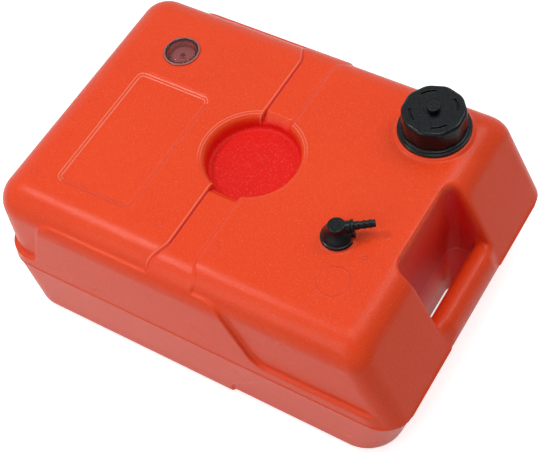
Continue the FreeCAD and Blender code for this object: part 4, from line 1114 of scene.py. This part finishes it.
# --- Filler cap -----------------------------------------------------------------------------------
@dataclass
class FillerCap:
    """Ten-sided screw cap with its vent knob."""

    sides: int = 10
    corner_radius: float = 34.9 * MM
    corner_turn: float = -87.0
    taper: float = 0.9 * MM
    corner_rounding: float = 5.0 * MM
    top_rounding: float = 3.6 * MM
    grid: float = 0.45 * MM
    easing: int = 2
    flange_radius: float = 39.2 * MM
    step_radius: float = 36.6 * MM
    rim_height: float = 2.8 * MM
    flange_height: float = 5.0 * MM
    flange_overlap: float = 8.0 * MM
    slots: int = 4
    slot_radius: float = 24.5 * MM
    slot_width: float = 2.4 * MM
    slot_depth: float = 2.6 * MM
    slot_sweep: float = 40.0
    slot_turn: float = -50.0
    knob_turn: float = 35.0
    knob_radius: float = 7.0 * MM
    stem_radius: float = 3.5 * MM
    coin_slot: tuple[float, float, float] = (20.0 * MM, 1.4 * MM, 1.6 * MM)
    knob_grid: float = 0.3 * MM

    def grip(self, low: float, high: float) -> Mesh:
        """Makes the ten-sided block with rounded corners.

        Args:
            low: Height of its foot.
            high: Height of its top.

        Returns:
            The block's mesh, on the origin.
        """
        mesh = bmesh.new()
        bmesh.ops.create_cone(mesh, cap_ends=True, cap_tris=False, segments=self.sides,
                              radius1=self.corner_radius + self.taper,
                              radius2=self.corner_radius, depth=high - low)
        first = min(mesh.verts, key=lambda vert: (-vert.co.z, -vert.co.x))
        turn = math.radians(self.corner_turn) - math.atan2(first.co.y, first.co.x)
        bmesh.ops.rotate(mesh, verts=mesh.verts, cent=(0, 0, 0),
                         matrix=Matrix.Rotation(turn, 3, "Z"))
        bmesh.ops.translate(mesh, verts=mesh.verts, vec=(0, 0, (low + high) / 2))
        uprights = [edge for edge in mesh.edges
                    if abs(edge.verts[0].co.z - edge.verts[1].co.z) > MM]
        bmesh.ops.bevel(mesh, geom=uprights, offset=self.corner_rounding, offset_type="OFFSET",
                        segments=5, profile=0.5, affect="EDGES", material=-1)
        rim = [edge for edge in mesh.edges if min(vert.co.z for vert in edge.verts) > high - MM]
        bmesh.ops.bevel(mesh, geom=rim, offset=self.top_rounding, offset_type="OFFSET",
                        segments=6, profile=0.5, affect="EDGES", material=-1)
        return mesh

    def slot_tools(self, top: float) -> Mesh:
        """Makes the arc-shaped cutters for the slots in the top.

        Args:
            top: Height of the cap's top.

        Returns:
            One mesh with all the cutters.
        """
        tools = bmesh.new()
        inner = self.slot_radius - self.slot_width / 2
        outer = self.slot_radius + self.slot_width / 2
        section = [(inner, -self.slot_depth), (outer, -self.slot_depth), (outer, MM), (inner, MM)]
        for index in range(self.slots):
            start = math.radians(self.slot_turn + 360 / self.slots * index - self.slot_sweep / 2)
            across, along = math.cos(start), math.sin(start)
            verts = [tools.verts.new((radius * across, radius * along, top + rise))
                     for radius, rise in section]
            face = tools.faces.new(verts)
            bmesh.ops.spin(tools, geom=[face], cent=(0, 0, 0), axis=(0, 0, 1),
                           angle=math.radians(self.slot_sweep), steps=12,
                           use_merge=False, use_duplicate=False)
        bmesh.ops.recalc_face_normals(tools, faces=tools.faces)
        return tools

    def build(self, finish: Finish) -> None:
        """Builds and dresses the cap and its vent knob.

        Args:
            finish: The black plastic.
        """
        low, high = (corner.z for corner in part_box("cap_shell"))
        step = low + self.rim_height
        inner = self.step_radius - self.flange_overlap
        flange = lathe([(inner, low, 0.0),
                        (self.flange_radius, low, 0.5 * MM),
                        (self.flange_radius, step, 1.2 * MM),
                        (self.step_radius, step, 0.5 * MM),
                        (self.step_radius, low + self.flange_height, 0.9 * MM),
                        (inner, low + self.flange_height, 0.0)], 128, True)
        place = on_axis(CAP_AXIS)
        piece = as_object("filler_cap", self.grip(step, high), place)
        combine(piece, flange, "UNION", place)
        combine(piece, self.slot_tools(high), "DIFFERENCE", place)
        finish_piece(soften(piece, self.grid, self.easing), finish, Body.CAP,
                     ["cap_shell"])
        self.build_knob(finish)

    def build_knob(self, finish: Finish) -> None:
        """Builds the vent knob with its coin slot.

        Args:
            finish: The black plastic.
        """
        low, high = (corner.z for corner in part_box("vent_screw"))
        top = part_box("cap_shell")[1].z
        knob = lathe([(0.0, low, 0.0), (self.stem_radius, low, 0.6 * MM),
                      (self.stem_radius, top, 0.0), (self.knob_radius, top + 0.2 * MM, 0.5 * MM),
                      (self.knob_radius, high, 1.4 * MM), (0.0, high, 0.0)], 64)
        piece = as_object("vent_knob", knob, on_axis(CAP_AXIS))
        turn = Matrix.Rotation(math.radians(self.knob_turn), 4, "Z")
        combine(piece, block(self.coin_slot), "DIFFERENCE", on_axis(CAP_AXIS, high) @ turn)
        finish_piece(soften(piece, self.knob_grid, self.easing), finish, Body.VENT,
                     ["vent_screw"])


# --- Fuel outlet ----------------------------------------------------------------------------------
@dataclass
class FuelOutlet:
    """Swivelling elbow and barbed tail."""

    foot: float = 210.3 * MM
    lip_radius: float = 17.9 * MM
    lip_height: float = 3.4 * MM
    head_radius: float = 9.3 * MM
    head_height: float = 18.4 * MM
    skin: float = 0.7 * MM
    seat_radius: float = 13.6 * MM
    waist: tuple[tuple[float, float, float], ...] = (     # radius, height and rounding, in mm
        (14.9, 6.6, 2.5), (12.0, 10.6, 3.0), (10.2, 14.4, 2.5))
    ledge_radius: float = 16.2 * MM
    window_turn: float = 8.0
    window_size: float = 7.0 * MM
    grid: float = 0.32 * MM
    easing: int = 5

    def bell(self) -> Mesh:
        """Makes the smooth skin of the bell and its rolled lip.

        Returns:
            A ring that wraps the elbow from its lip to its head.
        """
        low, lip, head = self.foot, self.foot + self.lip_height, self.foot + self.head_height
        waist = [(radius * MM, low + height * MM, rounding * MM)
                 for radius, height, rounding in self.waist]
        skin = lathe([(self.head_radius - self.skin, low + 2.6 * MM, 0.0),
                      (self.seat_radius, low + 2.4 * MM, 0.0), (self.seat_radius, low, 0.0),
                      (self.lip_radius, low, 0.6 * MM), (self.lip_radius, lip, 1.4 * MM),
                      (self.ledge_radius, lip, 0.4 * MM), *waist,
                      (self.head_radius, head, 0.4 * MM),
                      (self.head_radius - self.skin, head, 0.0)], 96, True)
        bmesh.ops.transform(skin, verts=skin.verts, matrix=on_axis(OUTLET_AXIS))
        return skin

    def cut_window(self, bell: Piece) -> None:
        """Cuts the small window in the bell's foot.

        Args:
            bell: The bell.
        """
        size = self.window_size
        on_lip = Matrix.Translation((self.ledge_radius, 0.0, self.foot + size / 2 - MM))
        turn = Matrix.Rotation(math.radians(self.window_turn), 4, "Z")
        combine(bell, block((size, size, size)), "DIFFERENCE",
                on_axis(OUTLET_AXIS) @ turn @ on_lip)

    def build(self, finish: Finish) -> None:
        """Builds and dresses the elbow and the tail.

        Args:
            finish: The black plastic.
        """
        mesh = merged_copy("outlet_bell", "outlet_elbow")
        absorb(mesh, self.bell())
        bell = soften(as_object("outlet_bell", mesh), self.grid, self.easing)
        self.cut_window(bell)
        finish_piece(bell, finish, Body.OUTLET, ["outlet_elbow"])
        tail = soften(as_object("barbed_tail", merged_copy("barbed_tail", "hose_tail")), self.grid,
                      self.easing)
        finish_piece(tail, finish, Body.OUTLET, ["hose_tail"])


# --- Fuel gauge -----------------------------------------------------------------------------------
@dataclass
class FuelGauge:
    """Window, sealing ring, dial and needle."""

    lens_radius: float = 21.0 * MM
    riser_radius: float = 17.4 * MM
    skirt_radius: float = 16.0 * MM
    wall: float = 1.4 * MM
    seal_inner: float = 16.5 * MM
    seal_outer: float = 18.7 * MM
    hub_radius: float = 2.7 * MM
    hub_height: float = 0.8 * MM

    def build(self, clear: Finish, edge: Finish,
              needle: Finish, rubber: Finish) -> None:
        """Builds and dresses the window, its edge, its seal and the needle.

        Args:
            clear: The window's plastic.
            edge: The window's thick edge, which carries the tank's colour.
            needle: The needle's plastic.
            rubber: The seal's rubber.
        """
        place = on_axis(GAUGE_AXIS)
        low, high = (corner.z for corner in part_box("gauge_lens"))
        seat, flange = (corner.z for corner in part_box("gauge_seal"))
        skirt, upper = self.skirt_radius - self.wall, flange + self.wall
        lens = lathe([(skirt, low, 0.2 * MM), (self.skirt_radius, low, 0.2 * MM),
                      (self.skirt_radius, flange, 0.0), (self.seal_outer, flange, 0.0),
                      (self.seal_outer, upper, 0.0), (self.riser_radius, upper, 0.4 * MM),
                      (self.riser_radius, high, 1.0 * MM), (0.0, high, 0.0),
                      (0.0, high - self.wall, 0.0), (skirt, high - self.wall, 0.6 * MM)], 128, True)
        window = as_object("gauge_window", lens, place)
        finish_piece(window, clear, Body.TANK, ["gauge_lens"])
        rim = lathe([(self.seal_outer, seat, 0.0), (self.lens_radius, seat, 0.2 * MM),
                     (self.lens_radius, upper, 0.9 * MM), (self.seal_outer, upper, 0.5 * MM)],
                    128, True)
        finish_piece(as_object("gauge_rim", rim, place), edge, Body.TANK)
        band = lathe([(self.seal_inner, seat, 0.2 * MM), (self.seal_outer, seat, 0.2 * MM),
                      (self.seal_outer, flange, 0.2 * MM), (self.seal_inner, flange, 0.2 * MM)],
                     96, True)
        finish_piece(as_object("gauge_ring", band, place), rubber, Body.TANK,
                     ["gauge_seal"])
        pointer = as_object("gauge_needle", merged_copy("gauge_needle", "gauge_pointer"))
        finish_piece(pointer, needle, Body.NEEDLE, ["gauge_pointer"])
        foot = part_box("gauge_pointer")[1].z
        top = foot + self.hub_height
        hub = lathe([(0.0, foot, 0.0), (self.hub_radius, foot, 0.0),
                     (self.hub_radius, top, 0.4 * MM), (0.0, top, 0.0)], 48)
        finish_piece(as_object("gauge_hub", hub, place), rubber, Body.NEEDLE)


# --- Studio ---------------------------------------------------------------------------------------
@dataclass(frozen=True)
class Lamp:
    """A square soft lamp: its name, where it hangs, its side in metres and its power."""

    name: str
    place: tuple[float, float, float]
    side: float
    watts: float


@dataclass
class Studio:
    """Plain pale floor, soft lamps and the camera."""

    lens_mm: float = 89.08
    camera_place: tuple[float, float, float] = (0.5675, -0.65455, 1.30855)
    right: tuple[float, float, float] = (0.850556, 0.510932, -0.124509)
    down: tuple[float, float, float] = (0.363379, -0.742160, -0.563164)
    ahead: tuple[float, float, float] = (-0.380144, 0.433759, -0.816911)
    paper: str = "eaeaea"
    world_level: float = 0.32
    handle_level: float = 0.2      # the same from beyond the handle end, which lies in shade
    handle_mirror: float = 0.3     # what mirrored rays find there
    sky_fade: tuple[float, float] = (0.1, 1.0)
    lamps: tuple[Lamp, ...] = (Lamp("top_lamp", (0.3, 0.0, 1.8), 0.7, 6.5),
                               Lamp("back_lamp", (0.6, 0.8, 1.4), 0.6, 5.0),
                               Lamp("rim_lamp", (-0.8, -0.33, 1.6), 0.22, 7.0),
                               Lamp("front_lamp", (-0.3, -1.2, 0.9), 0.8, 4.3))
    lamps_aim: tuple[float, float, float] = (0.0, 0.0, 0.1)
    paper_glow: float = 0.3
    paper_fade: tuple[float, float] = (0.25, 0.8)
    seen_glow: float = 0.7
    floor_gap: float = 0.0002

    def camera(self) -> None:
        """Sets the camera at the viewing angle."""
        data = bpy.data.cameras.new("camera")
        data.sensor_fit = "HORIZONTAL"
        data.sensor_width = 36.0
        data.lens = self.lens_mm
        data.clip_end = 20.0
        camera = bpy.data.objects.new("camera", data)
        bpy.context.scene.collection.objects.link(camera)
        axes = Matrix((self.right, -Vector(self.down), -Vector(self.ahead))).transposed()
        camera.matrix_world = Matrix.Translation(self.camera_place) @ axes.to_4x4()
        bpy.context.scene.camera = camera

    def hang(self, lamp: Lamp) -> None:
        """Adds one lamp that points at the tank.

        Args:
            lamp: The lamp.
        """
        data = bpy.data.lights.new(lamp.name, "AREA")
        data.size = lamp.side
        data.energy = lamp.watts
        light = bpy.data.objects.new(lamp.name, data)
        bpy.context.scene.collection.objects.link(light)
        light.location = lamp.place
        toward = Vector(self.lamps_aim) - Vector(lamp.place)
        light.rotation_euler = toward.to_track_quat("-Z", "Y").to_euler()

    def seen(self, nodes: Nodes) -> Socket:
        """Tells rays that show the backdrop from rays that light the tank.

        Args:
            nodes: Node tree of the floor or the world.

        Returns:
            1 for the camera's, mirrored and refracted rays, and 0 for the others.
        """
        rays = nodes.add("ShaderNodeLightPath").outputs
        return nodes.join(*(rays[f"Is {kind} Ray"] for kind in ("Camera", "Glossy", "Transmission")))

    def floor(self) -> None:
        """Lays the floor: pale paper that stays white to the camera but keeps the shadow."""
        nodes = FinishNodes("backdrop_paper")
        shader = nodes.add("ShaderNodeBsdfDiffuse", {"Color": linear(self.paper)})
        camera_rays = nodes.add("ShaderNodeLightPath").outputs["Is Camera Ray"]
        axes = nodes.add("ShaderNodeSeparateXYZ", {"Vector": nodes.place})
        mirrored = nodes.remap(axes.outputs["X"], self.paper_fade, (self.paper_glow, 0.0))
        level = nodes.remap(camera_rays, (0.0, 1.0), (mirrored, self.seen_glow))
        glow = nodes.add("ShaderNodeEmission", {"Color": WHITE, "Strength": level})
        off = nodes.add("ShaderNodeEmission", {"Strength": 0.0})
        extra = nodes.add("ShaderNodeMixShader", {
            "Fac": self.seen(nodes), 1: off.outputs["Emission"], 2: glow.outputs["Emission"]})
        both = nodes.add("ShaderNodeAddShader", {
            0: shader.outputs["BSDF"], 1: extra.outputs["Shader"]})
        nodes.add("ShaderNodeOutputMaterial", {"Surface": both.outputs["Shader"]})
        mesh = bmesh.new()
        bmesh.ops.create_grid(mesh, x_segments=2, y_segments=2, size=6.0)
        bmesh.ops.translate(mesh, verts=mesh.verts,
                            vec=(0, 0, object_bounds()[0][2] - self.floor_gap))
        floor = as_object("floor", mesh)
        floor.data.materials.append(nodes.material)
        floor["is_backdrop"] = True

    def world(self) -> None:
        """Sets the daylight round the tank, dimmer from beyond the handle end."""
        world = bpy.data.worlds.new("studio")
        world.use_nodes = True
        nodes = Nodes(world.node_tree)
        toward = nodes.add("ShaderNodeTexCoord").outputs["Generated"]
        axes = nodes.add("ShaderNodeSeparateXYZ", {"Vector": toward})
        skies = []
        for levels in ((self.world_level, self.handle_level), (1.0, self.handle_mirror)):
            level = nodes.remap(axes.outputs["X"], self.sky_fade, levels)
            sky = nodes.add("ShaderNodeBackground", {"Color": WHITE, "Strength": level})
            skies.append(sky.outputs["Background"])
        both = nodes.add("ShaderNodeMixShader", {
            "Fac": self.seen(nodes), 1: skies[0], 2: skies[1]})
        nodes.add("ShaderNodeOutputWorld", {"Surface": both.outputs["Shader"]})
        bpy.context.scene.world = world

    def build(self) -> None:
        """Sets up camera, lamps, floor and world."""
        self.camera()
        for lamp in self.lamps:
            self.hang(lamp)
        self.floor()
        self.world()
        bpy.context.scene.view_settings.view_transform = "Standard"


def dress_frame_nodes(finishes: dict[str, Finish]) -> None:
    """Gives the frame's own pieces their finishes.

    Args:
        finishes: Material slot to finish.
    """
    slots = {row["node"]: row["material_slot"] for row in frame["record"]["subparts"]}
    for name, piece in frame["nodes"].items():
        material = finishes.get(slots.get(name, ""))
        if material is not None:
            piece.data.materials.clear()
            piece.data.materials.append(material)


def main() -> None:
    """Builds every piece in order."""
    logging.basicConfig(level=logging.INFO, format="%(name)s: %(message)s")
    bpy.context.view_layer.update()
    polyethylene = BlownPolyethylene().material()
    nylon = MouldedPlastic("moulded_nylon_black", "02060a", "0a1316", 0.22, 0.22, grain_mm=1.6,
                           mottle=0.3).material()
    rubber = MouldedPlastic("nitrile_rubber_black", "0c0d0e", "181a1b", 0.55, 0.25).material()
    # The dial's own plastic is white; its dark mauve red is painted shade and painted red reflected
    # light from the deep well round it.
    acetal = MouldedPlastic("tinted_acetal", "ac5658", "9a484a", 0.4).material()
    orange = MouldedPlastic("needle_orange", "e0662a", "c95520", 0.4).material()
    foam = MouldedPlastic("cell_foam", "3b3a38", "454340", 0.8).material()
    clear = ClearPolycarbonate().material()
    edge = MouldedPlastic("polycarbonate_edge", "8a3c38", "9a4a44", 0.18, 1.0).material()
    steel = DrawnMetal("drawn_steel", "b9b9b6").material()
    brass = DrawnMetal("rolled_brass", "c8a45a").material()
    dress_frame_nodes({"black_plastic": nylon, "rubber": rubber, "white_plastic": acetal,
                       "steel": steel, "brass_strip": brass, "float_foam": foam})
    TankShell().build(polyethylene)
    FillerCap().build(nylon)
    FuelOutlet().build(nylon)
    FuelGauge().build(clear, edge, orange, rubber)
    Studio().build()


if __name__ == "__main__":
    main()
